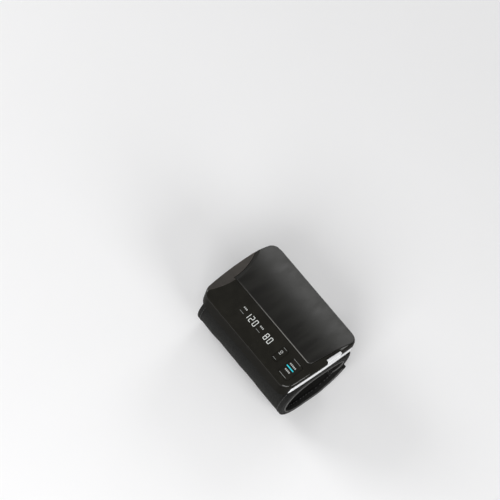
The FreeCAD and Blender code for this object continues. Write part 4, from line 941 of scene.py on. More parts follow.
class Sweep:
    """Mesh drawn by carrying a section along bends and the straight runs between them."""

    LONG_SIDE = 20 * MM
    LEAST_STEPS = 3

    def __init__(self, bends: list[Bend], section: Section, closed: bool = False, cuts: int = 0) -> None:
        """Draw a section at the start of the first bend and carry it to the end of the last.

        Args:
            bends: the course.
            section: corners as (place along the arm, depth under the face).
            closed: whether the section is a ring.
            cuts: how many points to add in each side of the section that runs along the arm.
        """
        self.bm = bmesh.new()
        self.across = self.bm.verts.layers.float.new("across")
        self.run = self.bm.verts.layers.float.new("run")
        self.bends = bends
        first = bends[0]
        corners = [self.bm.verts.new(first.point(depth, first.start, x)) for x, depth in section]
        for vert, last in zip(corners[1:], corners):
            vert[self.across] = last[self.across] + (vert.co - last.co).length
        pairs = list(zip(corners, corners[1:] + corners[:1]))
        sides = [self.bm.edges.new(pair) for pair in (pairs if closed else pairs[:-1])]
        if cuts:
            long_sides = [edge for edge in sides if edge.calc_length() > self.LONG_SIDE]
            bmesh.ops.subdivide_edges(self.bm, edges=long_sides, cuts=cuts)
        self.front = list(self.bm.edges)
        self.first_ring = list(self.front)
        self.length = 0.0
        self.carry()

    def carry(self) -> None:
        """Walk the whole course."""
        last = None
        for bend in self.bends:
            if last is not None:
                shift = straight_run(last, bend)
                if shift.length > TINY:
                    count = max(1, round(shift.length / LOOP.step))
                    self.steps(count, shift.length, lambda verts: bmesh.ops.translate(
                        self.bm, verts=verts, vec=shift / count))
            count = max(self.LEAST_STEPS, round(bend.length() / LOOP.step))
            turn = Matrix.Rotation(math.radians(bend.end - bend.start) / count, 3, "X")
            self.steps(count, bend.length(), lambda verts: bmesh.ops.rotate(
                self.bm, verts=verts, cent=(0.0, bend.y, bend.z), matrix=turn))
            last = bend

    def steps(self, count: int, length: float, move: Callable[[list], object]) -> None:
        """Extrude the front a number of times, each time moved on.

        Args:
            count: how many times.
            length: how far it gets in all, along the outer face.
            move: what moves the new points on by one step.
        """
        for _ in range(count):
            made = bmesh.ops.extrude_edge_only(self.bm, edges=self.front)["geom"]
            verts = new_points(made)
            fresh = set(verts)
            edges = [item for item in made if isinstance(item, bmesh.types.BMEdge)]
            self.front = [edge for edge in edges if fresh.issuperset(edge.verts)]
            move(verts)
            self.length += length / count
            for vert in verts:
                vert[self.run] = self.length

    def close_ends(self) -> None:
        """Fill both ends of a swept ring and turn its faces out."""
        for ring in (self.first_ring, self.front):
            bmesh.ops.contextual_create(self.bm, geom=ring)
        bmesh.ops.recalc_face_normals(self.bm, faces=list(self.bm.faces))

    def cap_ends(self) -> None:
        """Close both ends of an open section with a flat face."""
        for place in (0.0, self.length):
            rim = [edge for edge in self.bm.edges
                   if edge.is_boundary and all(abs(vert[self.run] - place) < TINY for vert in edge.verts)]
            bmesh.ops.contextual_create(self.bm, geom=rim)

    def face(self, outward: bool) -> None:
        """Turn the faces of an open sheet to one side.

        Args:
            outward: whether that is its outer side.
        """
        bmesh.ops.recalc_face_normals(self.bm, faces=list(self.bm.faces))
        first = self.bends[0]
        sample = min(self.bm.faces, key=lambda item: (item.calc_center_median().x ** 2
                                                      + sum(vert[self.run] for vert in item.verts)))
        middle = sample.calc_center_median()
        away = middle - Vector((middle.x, first.y, first.z))
        if (sample.normal.dot(away) > 0) != outward:
            bmesh.ops.reverse_faces(self.bm, faces=list(self.bm.faces))

    def bevel(self, wanted: Callable[[bmesh.types.BMEdge], bool], radius: float, segments: int) -> None:
        """Round some of the edges.

        Args:
            wanted: test that picks them.
            radius: how far the rounding reaches.
            segments: how many facets it has.
        """
        edges = [edge for edge in self.bm.edges if wanted(edge)]
        bmesh.ops.bevel(self.bm, geom=edges, offset=radius, segments=segments, profile=0.5,
                        affect="EDGES", material=-1)

    def shape(self, move: Callable[[float, float], float]) -> None:
        """Lift every point off its face.

        Args:
            move: the lift at a place across and along the cloth.
        """
        self.bm.normal_update()
        lifts = [(vert, vert.normal * move(vert[self.across], vert[self.run])) for vert in self.bm.verts]
        for vert, lift in lifts:
            vert.co += lift

    def piece(self, name: str, finish: Finishes) -> bpy.types.Object:
        """Lay the cloth's own directions into its UV map and make the object.

        Args:
            name: the piece's name.
            finish: what it is dressed in.

        Returns:
            The new object.
        """
        uv = self.bm.loops.layers.uv.new("cloth")
        for item in self.bm.faces:
            for corner in item.loops:
                corner[uv].uv = (corner.vert[self.across], corner.vert[self.run])
        return add_piece(name, self.bm, finish)


def fade(distance: float, reach: float) -> float:
    """Smooth step from nought at an edge to one at a reach from it."""
    share = min(1.0, max(0.0, distance / reach))
    return share * share * (3 - 2 * share)


@dataclass(frozen=True)
class Wrinkles:
    """Soft hand of a stretched cloth: broad and fine waves that die out at its edges."""

    height: float
    seed: float
    broad: Span = (35.0, 60.0)
    fine: Span = (90.0, 130.0)
    fine_share: float = 0.5
    hollow: float = -0.35
    edge_reach: float = 12 * MM

    def waves(self, across: float, run: float, pace: Span) -> float:
        """Noise at a place, with so many waves to a metre across and along."""
        return noise.noise(Vector((across * pace[0], run * pace[1], self.seed)))

    def lift(self, across: float, run: float, edge: float) -> float:
        """How far the cloth lifts at a place across and along it, so far from its nearest edge."""
        soft = self.waves(across, run, self.broad) + self.fine_share * self.waves(across, run, self.fine)
        return self.height * max(soft, self.hollow) * fade(edge, self.edge_reach)


@dataclass(frozen=True)
class Stitching:
    """Rows of lockstitch along the cuff."""

    pitch: float = 3.2 * MM
    length: float = 2.3 * MM
    width: float = 0.55 * MM
    height: float = 0.42 * MM

    def stations(self, bends: list[Bend], depth: float) -> Iterator[tuple[Vector, float]]:
        """Walk a course in even steps.

        Args:
            bends: the course.
            depth: how deep it lies under the outer face.

        Yields:
            Each point, with the angle that the face points out at.
        """
        last = None
        for bend in bends:
            if last is not None:
                shift = straight_run(last, bend, depth)
                count = int(shift.length / self.pitch)
                for index in range(1, count):
                    yield last.point(depth, last.end) + shift * index / count, bend.start
            count = max(1, round(bend.length(depth) / self.pitch))
            for index in range(count):
                degrees = bend.start + (bend.end - bend.start) * (index + 0.5) / count
                yield bend.point(depth, degrees), degrees
            last = bend

    def add(self, bm: bmesh.types.BMesh, point: Vector, degrees: float, along_arm: bool = False) -> None:
        """Set one stitch.

        Args:
            bm: what it is added to.
            point: its middle.
            degrees: the angle that the face under it points out at.
            along_arm: whether it lies along the arm.
        """
        size = (self.length, self.width) if along_arm else (self.width, self.length)
        scale = Matrix.Diagonal((size[0] / 2, size[1] / 2, self.height / 2, 1.0))
        matrix = Matrix.Translation(point) @ Matrix.Rotation(math.radians(degrees + DOWN), 4, "X") @ scale
        bmesh.ops.create_uvsphere(bm, u_segments=6, v_segments=4, radius=1.0, matrix=matrix)

    def across_arm(self, bm: bmesh.types.BMesh, bends: list[Bend], depth: float,
                   places: tuple[float, ...]) -> None:
        """Sew rows across the arm.

        Args:
            bm: what they are added to.
            bends: their course.
            depth: how deep they lie under the outer face.
            places: where each row lies along the arm.
        """
        for point, degrees in self.stations(bends, depth):
            for x in places:
                self.add(bm, point + Vector((x, 0.0, 0.0)), degrees)


@dataclass(frozen=True)
class TouchFastener:
    """Hook and loop halves that close the cuff."""

    inset: float = 12 * MM
    cuts: int = 30
    tuft_height: float = 0.06 * MM
    tuft_pace: float = 900.0
    thickness: float = 0.4 * MM

    def tufts(self, across: float, run: float) -> float:
        """How far the tufts stand at a place across and along a pad."""
        return self.tuft_height * noise.noise(Vector((across * self.tuft_pace, run * self.tuft_pace, 1.0)))

    def half(self, name: str, node: str, bend: Bend, depth: float, outward: bool, finish: Finishes,
             body: Body) -> None:
        """One half of the fastener.

        Args:
            name: the piece's name.
            node: the solid that it stands for.
            bend: its course.
            depth: how deep the face that shows lies under the outer face of the cuff.
            outward: whether that face looks out.
            finish: hook or loop.
            body: what it rides on.
        """
        far, near = LOOP.span(self.inset)
        sheet = Sweep([bend], [(far, depth), (near, depth)], cuts=self.cuts)
        sheet.face(outward)
        sheet.shape(self.tufts)
        pad = sheet.piece(name, finish)
        thicken(pad, self.thickness)
        assign(pad, body, "closure_fabric", node)
        developed([bend], depth)


@dataclass(frozen=True)
class Layer:
    """One cloth of the band, with the solid that it stands for and where its face lies."""

    name: str
    node: str
    slot: str
    finish: Finishes
    depth: float
    outward: bool
    thickness: float
    wrinkles: Wrinkles


@dataclass(frozen=True)
class Cuff:
    """Cloth, tapes and padding of the pre-formed cuff."""

    binding_width: float = 2.4 * MM
    layers: tuple[Layer, ...] = (
        Layer("sleeve_cloth", "cuff_sleeve", "sleeve_fabric", Finishes.SLEEVE, 0.0, True, 1.0 * MM,
              Wrinkles(0.55 * MM, 3.0)),
        Layer("lining_cloth", "cuff_lining", "lining_fabric", Finishes.LINING, LOOP.depth, False, 0.8 * MM,
              Wrinkles(0.35 * MM, 8.0)),
    )
    layer_cuts: int = 39
    tape_lap: float = 5.2 * MM
    tape_stand: float = 0.30 * MM
    tape_thickness: float = 0.45 * MM
    tape_round: float = 1.1 * MM
    tape_round_facets: int = 4
    stitch_margin: float = 1.1 * MM
    piping_radius: float = 0.55 * MM
    piping_out_share: float = 0.2
    piping_rise: float = 0.2 * MM
    piping_sides: int = 8
    bladder_top: float = 2.4 * MM
    bladder_base: float = 4.4 * MM
    bladder_cuts: int = 23
    bladder_fill: float = 0.1
    weld_width: float = 6 * MM
    weld_share: float = 0.75
    hem_lap: float = 4.5 * MM
    hem_shares: tuple[float, ...] = (0.0, 0.33, 0.66, 1.0)
    hem_inset: float = 1.6 * MM
    hem_stand: float = 0.12 * MM
    hem_thickness: float = 0.3 * MM
    loop_turn: float = 32.0
    loop_stand: float = 0.5 * MM
    stitching: Stitching = Stitching()
    fastener: TouchFastener = TouchFastener()

    def build(self) -> None:
        """Every cloth piece that rides on the monitor."""
        bends = LOOP.bends()
        wing, side = bends[0], bends[-1]
        for layer in self.layers:
            self.layer(layer, bends)
        self.bladder(bends)
        self.tape("near", bends, LOOP.near, -1)
        self.tape("far", bends, LOOP.far, 1)
        self.hem("wing_hem", wing, wing.start, 1)
        self.hem("fold_hem", side, side.end, -1)
        loops = wing.part(-self.loop_turn, self.loop_turn)
        self.fastener.half("wing_loop_pad", "wing_loops", loops, -self.loop_stand, True, Finishes.LOOPS,
                           Body.MONITOR)
        rows = LOOP.span(self.tape_lap - self.stitch_margin)
        for name, depth in (("tape_stitches_outside", -self.tape_stand),
                            ("tape_stitches_inside", LOOP.depth + self.tape_stand)):
            bm = bmesh.new()
            self.stitching.across_arm(bm, bends, depth, rows)
            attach(add_piece(name, bm, Finishes.THREAD), Body.MONITOR.value)

    def layer(self, layer: Layer, bends: list[Bend]) -> None:
        """One cloth of the band.

        Args:
            layer: which one.
            bends: its course.
        """
        far, near = LOOP.span(self.binding_width)
        sheet = Sweep(bends, [(far, layer.depth), (near, layer.depth)], cuts=self.layer_cuts)
        sheet.face(layer.outward)
        width, length = near - far, sheet.length
        sheet.shape(lambda across, run: layer.wrinkles.lift(
            across, run, min(across, width - across, run, length - run)))
        cloth = sheet.piece(layer.name, layer.finish)
        thicken(cloth, layer.thickness)
        assign(cloth, Body.MONITOR, layer.slot, layer.node)
        developed(bends, layer.depth)

    def bladder(self, bends: list[Bend]) -> None:
        """Thin air bag with welded edges, between the curler sheet and the lining.

        Args:
            bends: its course.
        """
        far, near = LOOP.span(self.binding_width)
        top, base = self.bladder_top, self.bladder_base
        bag = Sweep(bends, [(far, top), (near, top), (near, base), (far, base)], True, self.bladder_cuts)
        bag.close_ends()
        width = near - far
        half = (base - top) / 2

        def weld(across: float, run: float) -> float:
            """Draw the bag in toward its welded edges.

            Args:
                across: place round the section.
                run: place along the course.

            Returns:
                The lift there, which is negative.
            """
            place = across if across < width else max(0.0, 2 * width + 2 * half - across)
            edge = min(place, width - place, run, bag.length - run)
            return -self.weld_share * half * (1 - fade(edge, self.weld_width))

        bag.shape(weld)
        pad = bag.piece("bladder_bag", Finishes.RUBBER)
        assign(pad, Body.MONITOR, "seal_rubber", "air_bladder")

    def tape(self, end: str, bends: list[Bend], x: float, inward: int) -> None:
        """Edge tape folded over one end of the band, with the piping along its inner edge.

        Args:
            end: which end, for the names.
            bends: its course.
            x: where the band ends.
            inward: direction from there to the middle of the band.
        """
        lap = x + inward * self.tape_lap
        low = LOOP.depth + self.tape_stand
        height = low + self.tape_stand
        band = Sweep(bends, [(lap, -self.tape_stand), (x, -self.tape_stand), (x, low), (lap, low)])
        corners = {round(self.tape_lap / TINY), round((self.tape_lap + height) / TINY)}

        def is_corner(edge: bmesh.types.BMEdge) -> bool:
            """Whether an edge runs along a fold of the tape."""
            first, second = (vert[band.across] for vert in edge.verts)
            return first == second and round(first / TINY) in corners

        band.bevel(is_corner, self.tape_round, self.tape_round_facets)
        band.cap_ends()
        band.face(True)
        tape = band.piece(f"{end}_tape", Finishes.TAPE)
        thicken(tape, self.tape_thickness)
        assign(tape, Body.MONITOR, "binding_tape", f"{end}_binding")
        flat = (2 * self.tape_lap + height, developed(bends, LOOP.depth / 2))
        self.piping(end, bends, x, -inward)

    def piping(self, end: str, bends: list[Bend], x: float, outward: int) -> None:
        """Round bead along the inner edge of a tape.

        Args:
            end: which end, for the name.
            bends: its course.
            x: where the band ends.
            outward: direction from there out of the band.
        """
        angles = (math.tau * index / self.piping_sides for index in range(self.piping_sides))
        cord = [(x + self.piping_radius * outward * (math.cos(angle) + self.piping_out_share),
                 LOOP.depth - self.piping_rise + self.piping_radius * math.sin(angle)) for angle in angles]
        bead = Sweep(bends, cord, closed=True)
        bead.close_ends()
        assign(bead.piece(f"{end}_piping", Finishes.PIPING), Body.MONITOR, "binding_tape")

    def hem(self, name: str, bend: Bend, at: float, sense: int) -> None:
        """Cloth turned over a free edge of the band that runs along the arm.

        Args:
            name: the piece's name.
            bend: the arc that ends there.
            at: the angle of the edge.
            sense: direction from the edge into the band, with the angle or against it.
        """
        bm = bmesh.new()
        lap = sense * math.degrees(self.hem_lap / bend.radius)
        far, near = LOOP.span(self.hem_inset)
        angles = [at + lap * share for share in self.hem_shares]
        points = [bend.point(-self.hem_stand, degrees, far) for degrees in reversed(angles)]
        points += [bend.point(LOOP.depth + self.hem_stand, degrees, far) for degrees in angles]
        verts = [bm.verts.new(point) for point in points]
        edges = [bm.edges.new(pair) for pair in zip(verts, verts[1:])]
        made = bmesh.ops.extrude_edge_only(bm, edges=edges)["geom"]
        bmesh.ops.translate(bm, verts=new_points(made), vec=(near - far, 0.0, 0.0))
        uv = bm.loops.layers.uv.new("cloth")
        for face in bm.faces:
            for corner in face.loops:
                corner[uv].uv = (corner.vert.co.x, corner.vert.co.z + corner.vert.co.y)
        bmesh.ops.recalc_face_normals(bm, faces=list(bm.faces))
        edge_face = max(bm.faces, key=lambda face: face.calc_area())
        tangent = Vector((0.0, math.sin(math.radians(at)), -math.cos(math.radians(at)))) * sense
        if edge_face.normal.dot(tangent) < 0:
            bmesh.ops.reverse_faces(bm, faces=list(bm.faces))
        area = sum(face.calc_area() for face in bm.faces)
        cloth = add_piece(name, bm, Finishes.TAPE)
        thicken(cloth, self.hem_thickness)
        assign(cloth, Body.MONITOR, "binding_tape")
        area / (near - far)


@dataclass(frozen=True)
class Tail:
    """Padded free end of the cuff, which folds open, with its hook pad and the cloth across the fold."""

    thickness: float = 4.4 * MM
    margin: float = 1.5 * MM
    cuts: int = 55
    fill: float = 0.35
    edge_share: float = 0.42
    edge_start: float = 0.4 * MM
    edge_reach: float = 3.0 * MM
    crown: float = 0.15 * MM
    crown_reach: float = 10 * MM
    seam_inset: float = 4.0 * MM
    seam_depth: float = 0.45 * MM
    seam_reach: float = 1.4 * MM
    stitch_rise: float = 0.15 * MM
    hook_inset: float = 4.0
    hook_depth: float = 5.0 * MM
    fold_inset: float = 5.6 * MM
    fold_cuts: int = 39
    fold_stand: float = 0.16 * MM
    fold_thickness: float = 0.3 * MM
    fold_cover: Span = (-11.0, 7.0)
    fold_give: Span = (-4.0, 2.5)
    row_inset: float = 1.5
    row_stand: float = 0.2 * MM
    stitching: Stitching = Stitching()
    fastener: TouchFastener = TouchFastener()

    def build(self) -> None:
        """The pad, its seam, its hooks and the cloth across the fold."""
        bend = LOOP.tail()
        self.pad(bend)
        self.seam(bend)
        hooks = bend.part(bend.start + self.hook_inset, bend.end - self.hook_inset)
        self.fastener.half("tail_hook_pad", "tail_hooks", hooks, self.hook_depth, False, Finishes.HOOKS,
                           Body.TAIL)
        self.fold_cloth()

    def pad(self, bend: Bend) -> None:
        """Crowned pad with thin sewn edges and a seam round its outer face.

        Args:
            bend: its course.
        """
        far, near = LOOP.span(self.margin)
        width, length = near - far, bend.length()
        section = [(far, 0.0), (near, 0.0), (near, self.thickness), (far, self.thickness)]
        bag = Sweep([bend], section, True, self.cuts)
        bag.close_ends()
        drawn_in = self.thickness / 2 * (1 - self.edge_share)

        def swell(across: float, run: float) -> float:
            """Crown the pad, and draw it in at its edges and along the seam.

            Args:
                across: place round the section.
                run: place along the course.

            Returns:
                The lift there.
            """
            outer = across < width + TINY
            place = across if outer else max(0.0, 2 * width + self.thickness - across)
            edge = min(place, width - place, run, length - run)
            thin = -drawn_in * (1 - fade(edge + self.edge_start, self.edge_reach))
            if not outer:
                return thin
            seam = self.seam_depth * max(0.0, 1 - abs(edge - self.seam_inset) / self.seam_reach)
            return thin - seam + self.crown * fade(edge, self.crown_reach)

        bag.shape(swell)
        pad = bag.piece("tail_pad", Finishes.SLEEVE)
        soften(pad)
        assign(pad, Body.TAIL, "sleeve_fabric", "cuff_tail")

    def seam(self, bend: Bend) -> None:
        """Stitches round the outer face of the pad.

        Args:
            bend: the pad's course.
        """
        bm = bmesh.new()
        far, near = LOOP.span(self.margin + self.seam_inset)
        depth = self.seam_depth - self.stitch_rise
        turn = math.degrees(self.seam_inset / bend.radius)
        inner = bend.part(bend.start + turn, bend.end - turn)
        self.stitching.across_arm(bm, [inner], depth, (far, near))
        count = round((near - far) / self.stitching.pitch)
        for index in range(count + 1):
            x = far + (near - far) * index / count
            for degrees in (inner.start, inner.end):
                self.stitching.add(bm, bend.point(depth, degrees, x), degrees, along_arm=True)
        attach(add_piece("tail_stitches", bm, Finishes.THREAD), Body.TAIL.value)

    def row(self, name: str, bend: Bend, degrees: float, span: Span, body: Body) -> None:
        """One row of stitches along the arm.

        Args:
            name: the piece's name.
            bend: the arc that it lies on.
            degrees: where on the arc.
            span: where it starts and ends along the arm.
            body: what it rides on.
        """
        bm = bmesh.new()
        far, near = span
        count = round((near - far) / self.stitching.pitch)
        for index in range(count):
            x = far + (near - far) * (index + 0.5) / count
            self.stitching.add(bm, bend.point(-self.row_stand, degrees, x), degrees, along_arm=True)
        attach(add_piece(name, bm, Finishes.THREAD), body.value)

    def fold_cloth(self) -> None:
        """Cloth that runs on from the sleeve over the fold to the tail."""
        side = LOOP.bends()[-1]
        bend = side.part(*(LOOP.fold + turn for turn in self.fold_cover))
        start, end = (tuple(side.point(0.0, LOOP.fold + turn)) for turn in self.fold_give)
        far, near = LOOP.span(self.fold_inset)
        depth = -self.fold_stand
        sheet = Sweep([bend], [(far, depth), (near, depth)], cuts=self.fold_cuts)
        for edge in list(sheet.bm.edges):
            if abs(edge.verts[0][sheet.run] - edge.verts[1][sheet.run]) > TINY:
                bmesh.ops.subdivide_edges(sheet.bm, edges=[edge], cuts=1)
        sheet.face(True)
        cloth = sheet.piece("fold_cloth", Finishes.SLEEVE)
        thicken(cloth, self.fold_thickness)
        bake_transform(cloth)
        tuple(start)
        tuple(end)
        self.row("fold_stitches_band", bend, bend.start + self.row_inset, (far, near), Body.MONITOR)
        self.row("fold_stitches_tail", bend, bend.end - self.row_inset, (far, near), Body.TAIL)
        developed([bend], depth)


class Segment(Enum):
    """Strokes of a seven-segment figure: middle across, middle up, and whether it lies flat."""

    TOP = (0.0, 1.0, True)
    MIDDLE = (0.0, 0.0, True)
    BASE = (0.0, -1.0, True)
    UPPER_LEFT = (-1.0, 0.5, False)
    UPPER_RIGHT = (1.0, 0.5, False)
    LOWER_LEFT = (-1.0, -0.5, False)
    LOWER_RIGHT = (1.0, -0.5, False)


FIGURES: dict[str, tuple[Segment, ...]] = {
    "0": tuple(segment for segment in Segment if segment is not Segment.MIDDLE),
    "1": (Segment.UPPER_RIGHT, Segment.LOWER_RIGHT),
    "2": (Segment.TOP, Segment.UPPER_RIGHT, Segment.MIDDLE, Segment.LOWER_LEFT, Segment.BASE),
    "8": tuple(Segment),
}


@dataclass(frozen=True)
class MarkSet:
    """Marks of one finish on one body, each given by its middle (X, Y) on the roof, in millimetres.

    A number comes with its figures, a row of blocks with their count, a ring with its radius and
    stroke, and a bar with its length and width.
    """

    name: str
    finish: Finishes
    body: Body
    numbers: tuple[tuple[str, float, float], ...] = ()
    rows: tuple[tuple[int, float, float], ...] = ()
    rings: tuple[tuple[float, float, float, float], ...] = ()
    bars: tuple[tuple[float, float, float, float], ...] = ()


MARK_SETS = (
    MarkSet("display_figures", Finishes.LIT, Body.MONITOR,
            numbers=(("120", -10.9, -25.5), ("80", 11.6, -25.6))),
    MarkSet("display_labels", Finishes.SOFT, Body.MONITOR, rows=((3, -21.6, -23.5), (3, 0.6, -23.5))),
    MarkSet("display_dashes", Finishes.DIM, Body.MONITOR,
            bars=((-21.4, -27.9, 5.0, 0.5), (0.4, -27.9, 5.0, 0.5))),
    MarkSet("start_key_lines", Finishes.DIM, Body.START_KEY,
            bars=((43.9, -19.6, 8.6, 0.45), (44.3, -35.7, 8.6, 0.45))),
    MarkSet("start_key_words", Finishes.SOFT, Body.START_KEY, rows=((5, 44.3, -24.5), (4, 44.4, -30.6))),
    MarkSet("start_key_bar", Finishes.TEAL, Body.START_KEY, bars=((44.1, -27.5, 8.6, 1.0),)),
    MarkSet("memory_key_marks", Finishes.DIM, Body.MEMORY_KEY,
            bars=((28.3, -20.0, 4.0, 0.45), (28.3, -31.9, 4.0, 0.45))),
    MarkSet("memory_key_symbol", Finishes.SOFT, Body.MEMORY_KEY,
            rings=((28.2, -23.9, 1.25, 0.5),), bars=((28.2, -26.2, 2.6, 0.6),)),
)


@dataclass(frozen=True)
class Marks:
    """Lit figures and plain marks behind the smoked roof and on its keys."""

    figure_width: float = 3.1 * MM
    figure_height: float = 6.4 * MM
    figure_pitch: float = 4.9 * MM
    stroke: float = 0.56 * MM
    stroke_gap: float = 0.1 * MM
    thickness: float = 0.06 * MM
    point_share: float = 0.42
    block: Span = (1.05 * MM, 1.5 * MM)
    block_pitch: float = 1.55 * MM
    ring_steps: int = 24
    longest_side: float = 3 * MM
    stand: float = 0.02 * MM

    def bar(self, bm: bmesh.types.BMesh, x: float, y: float, length: float, width: float) -> None:
        """One flat stroke with rounded ends, which seat() later lays on the roof.

        Args:
            bm: what it is added to.
            x: its middle along the arm.
            y: its middle across the monitor.
            length: its size along the arm.
            width: its size across.
        """
        scale = Matrix.Diagonal((length, width, self.thickness, 1.0))
        matrix = Matrix.Translation((x, y, self.thickness / 2)) @ scale
        verts = bmesh.ops.create_cube(bm, size=1.0, matrix=matrix)["verts"]
        upright = {edge for vert in verts for edge in vert.link_edges
                   if abs(edge.verts[0].co.z - edge.verts[1].co.z) > self.thickness / 2}
        bmesh.ops.bevel(bm, geom=list(upright), offset=self.point_share * min(length, width), segments=3,
                        profile=0.5, affect="EDGES", material=-1)

    def ring(self, bm: bmesh.types.BMesh, x: float, y: float, radius: float, width: float) -> None:
        """One flat ring.

        Args:
            bm: what it is added to.
            x: its middle along the arm.
            y: its middle across the monitor.
            radius: its outer radius.
            width: its stroke.
        """
        rim = bm.verts.new((x + radius, y, self.thickness))
        inside = bm.verts.new((x + radius - width, y, self.thickness))
        stroke = bm.edges.new((inside, rim))
        bmesh.ops.spin(bm, geom=[inside, rim, stroke], cent=(x, y, 0), axis=(0, 0, 1), angle=math.tau,
                       steps=self.ring_steps, use_merge=True)

    def row(self, bm: bmesh.types.BMesh, count: int, x: float, y: float) -> None:
        """A row of plain blocks whose middle is at a place on the roof."""
        for index in range(count):
            self.bar(bm, x + (index - (count - 1) / 2) * self.block_pitch, y, *self.block)

    def number(self, bm: bmesh.types.BMesh, figures: str, x: float, y: float) -> None:
        """A number in seven-segment figures.

        Args:
            bm: what it is added to.
            figures: its figures.
            x: its middle along the arm.
            y: its middle across the monitor.
        """
        half_width = (self.figure_width - self.stroke) / 2
        half_height = (self.figure_height - self.stroke) / 2
        for index, figure in enumerate(figures):
            middle = x + (index - (len(figures) - 1) / 2) * self.figure_pitch
            for segment in FIGURES[figure]:
                across, up, flat = segment.value
                length = (2 * half_width if flat else half_height) - self.stroke_gap
                size = (length, self.stroke) if flat else (self.stroke, length)
                self.bar(bm, middle + across * half_width, y + up * half_height, *size)

    def seat(self, bm: bmesh.types.BMesh) -> None:
        """Lay what has been drawn flat on the arched roof.

        Args:
            bm: the marks.
        """
        long_edges = [edge for edge in bm.edges if edge.calc_length() > self.longest_side]
        bmesh.ops.subdivide_edges(bm, edges=long_edges, cuts=3)
        for vert in bm.verts:
            vert.co.z += ARCH.height(vert.co.y) + self.stand
        bmesh.ops.recalc_face_normals(bm, faces=list(bm.faces))

    def add(self, marks: MarkSet) -> None:
        """Draw, seat and place one set of marks.

        Args:
            marks: the set.
        """
        bm = bmesh.new()
        for figures, x, y in marks.numbers:
            self.number(bm, figures, x * MM, y * MM)
        for count, x, y in marks.rows:
            self.row(bm, count, x * MM, y * MM)
        for ring in marks.rings:
            self.ring(bm, *(length * MM for length in ring))
        for bar in marks.bars:
            self.bar(bm, *(length * MM for length in bar))
        self.seat(bm)
        made = add_piece(marks.name, bm, marks.finish)
        made.data.shade_flat()
        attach(made, marks.body.value)

    def build(self) -> None:
        """Every mark of the roof and the keys."""
        for marks in MARK_SETS:
            self.add(marks)


@dataclass(frozen=True)
class Lamp:
    """Square soft box that looks at the object."""

    name: str
    direction: Triple
    distance: float
    size: float
    watts: float

    def build(self) -> None:
        """Hang the lamp."""
        light = bpy.data.lights.new(self.name, "AREA")
        light.size = self.size
        light.energy = self.watts
        made = bpy.data.objects.new(self.name, light)
        bpy.context.scene.collection.objects.link(made)
        away = Vector(self.direction).normalized()
        turn = away.to_track_quat("Z", "Y").to_matrix().to_4x4()
        made.matrix_world = Matrix.Translation(away * self.distance) @ turn


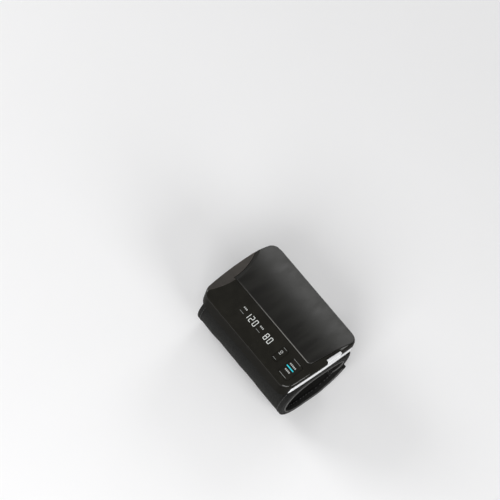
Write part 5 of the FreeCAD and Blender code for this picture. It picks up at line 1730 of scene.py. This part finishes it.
@dataclass(frozen=True)
class Studio:
    """Pale sweep, soft boxes and the camera of the photograph."""

    floor_level: float = -0.55 * MM
    floor_radius: float = 2.2
    floor_steps: int = 64
    rim_radius: float = 0.8
    rim_steps: int = 12
    weld: float = 0.01 * MM
    world: float = 0.26
    away: Triple = (0.246, -0.424, 0.872)
    right: Triple = (0.627, 0.755, 0.190)
    up: Triple = (-0.739, 0.500, 0.4515)
    middle: Triple = (0.0, 0.0, 38.0 * MM)
    offset: Span = (-20.595 * MM, 70.405 * MM)
    view_width: float = 0.4363
    distance: float = 3.0
    sensor: float = 36.0
    clip_end: float = 20.0
    lamps: tuple[Lamp, ...] = (
        Lamp("front_box", (0.35, -0.80, 0.62), 1.7, 0.9, 15.0),
        Lamp("near_box", (0.95, -0.15, 0.55), 1.7, 0.8, 11.0),
        Lamp("far_box", (-0.95, -0.35, 0.55), 1.7, 0.8, 11.0),
        Lamp("sheen_box", (-0.25, 0.82, 0.52), 1.7, 0.7, 4.3),
    )

    def build(self) -> None:
        """Floor, light and camera."""
        self.sweep()
        for lamp in self.lamps:
            lamp.build()
        scene = bpy.context.scene
        scene.view_settings.view_transform = "Standard"
        scene.world = bpy.data.worlds.new("studio")
        scene.world.use_nodes = True
        background = scene.world.node_tree.nodes["Background"]
        background.inputs["Color"].default_value = (1.0, 1.0, 1.0, 1.0)
        background.inputs["Strength"].default_value = self.world
        self.camera()

    def sweep(self) -> None:
        """Round floor whose rim curves up."""
        bm = bmesh.new()
        start = bm.verts.new((0.0, 0.0, self.floor_level))
        edge = bm.verts.new((self.floor_radius, 0.0, self.floor_level))
        bm.edges.new((start, edge))
        bmesh.ops.spin(bm, geom=[edge], cent=(self.floor_radius, 0.0, self.floor_level + self.rim_radius),
                       axis=(0, -1, 0), angle=math.pi / 2, steps=self.rim_steps)
        bmesh.ops.spin(bm, geom=list(bm.verts) + list(bm.edges), cent=(0, 0, 0), axis=(0, 0, 1),
                       angle=math.tau, steps=self.floor_steps, use_merge=True)
        bmesh.ops.remove_doubles(bm, verts=list(bm.verts), dist=self.weld)
        bmesh.ops.recalc_face_normals(bm, faces=list(bm.faces))
        if min(bm.faces, key=lambda face: face.calc_center_median().length).normal.z < 0:
            bmesh.ops.reverse_faces(bm, faces=list(bm.faces))
        add_piece("pale_sweep", bm, Finishes.PAPER)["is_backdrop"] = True

    def camera(self) -> None:
        """Long lens at the photograph's viewing angle."""
        lens = bpy.data.cameras.new("camera")
        lens.sensor_width = self.sensor
        lens.lens = self.sensor * self.distance / self.view_width
        lens.clip_end = self.clip_end
        made = bpy.data.objects.new("camera", lens)
        bpy.context.scene.collection.objects.link(made)
        away, right, up = (Vector(axis).normalized() for axis in (self.away, self.right, self.up))
        aim = Vector(self.middle) + right * self.offset[0] + up * self.offset[1]
        turn = Matrix((right, up, away)).transposed().to_4x4()
        made.matrix_world = Matrix.Translation(aim + away * self.distance) @ turn
        bpy.context.scene.camera = made


def dress_solids() -> None:
    """Give every solid that shows its finish."""
    for finish, nodes in CAD_FINISHES.items():
        for node in nodes:
            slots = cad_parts[node].data.materials
            slots.clear()
            slots.append(finish.material())
            LOG.info("%s: %s", node, finish.name.lower())


def main() -> None:
    """Dress the solids, build the soft pieces and the marks, and set up the studio."""
    logging.basicConfig(level=logging.INFO, format="%(name)s: %(message)s")
    dress_solids()
    Cuff().build()
    Tail().build()
    Marks().build()
    Studio().build()
    boxes = {"cad": CAD_BOX, "visual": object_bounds()}
    {name: [list(corner) for corner in box] for name, box in boxes.items()}


if __name__ == "__main__":
    main()
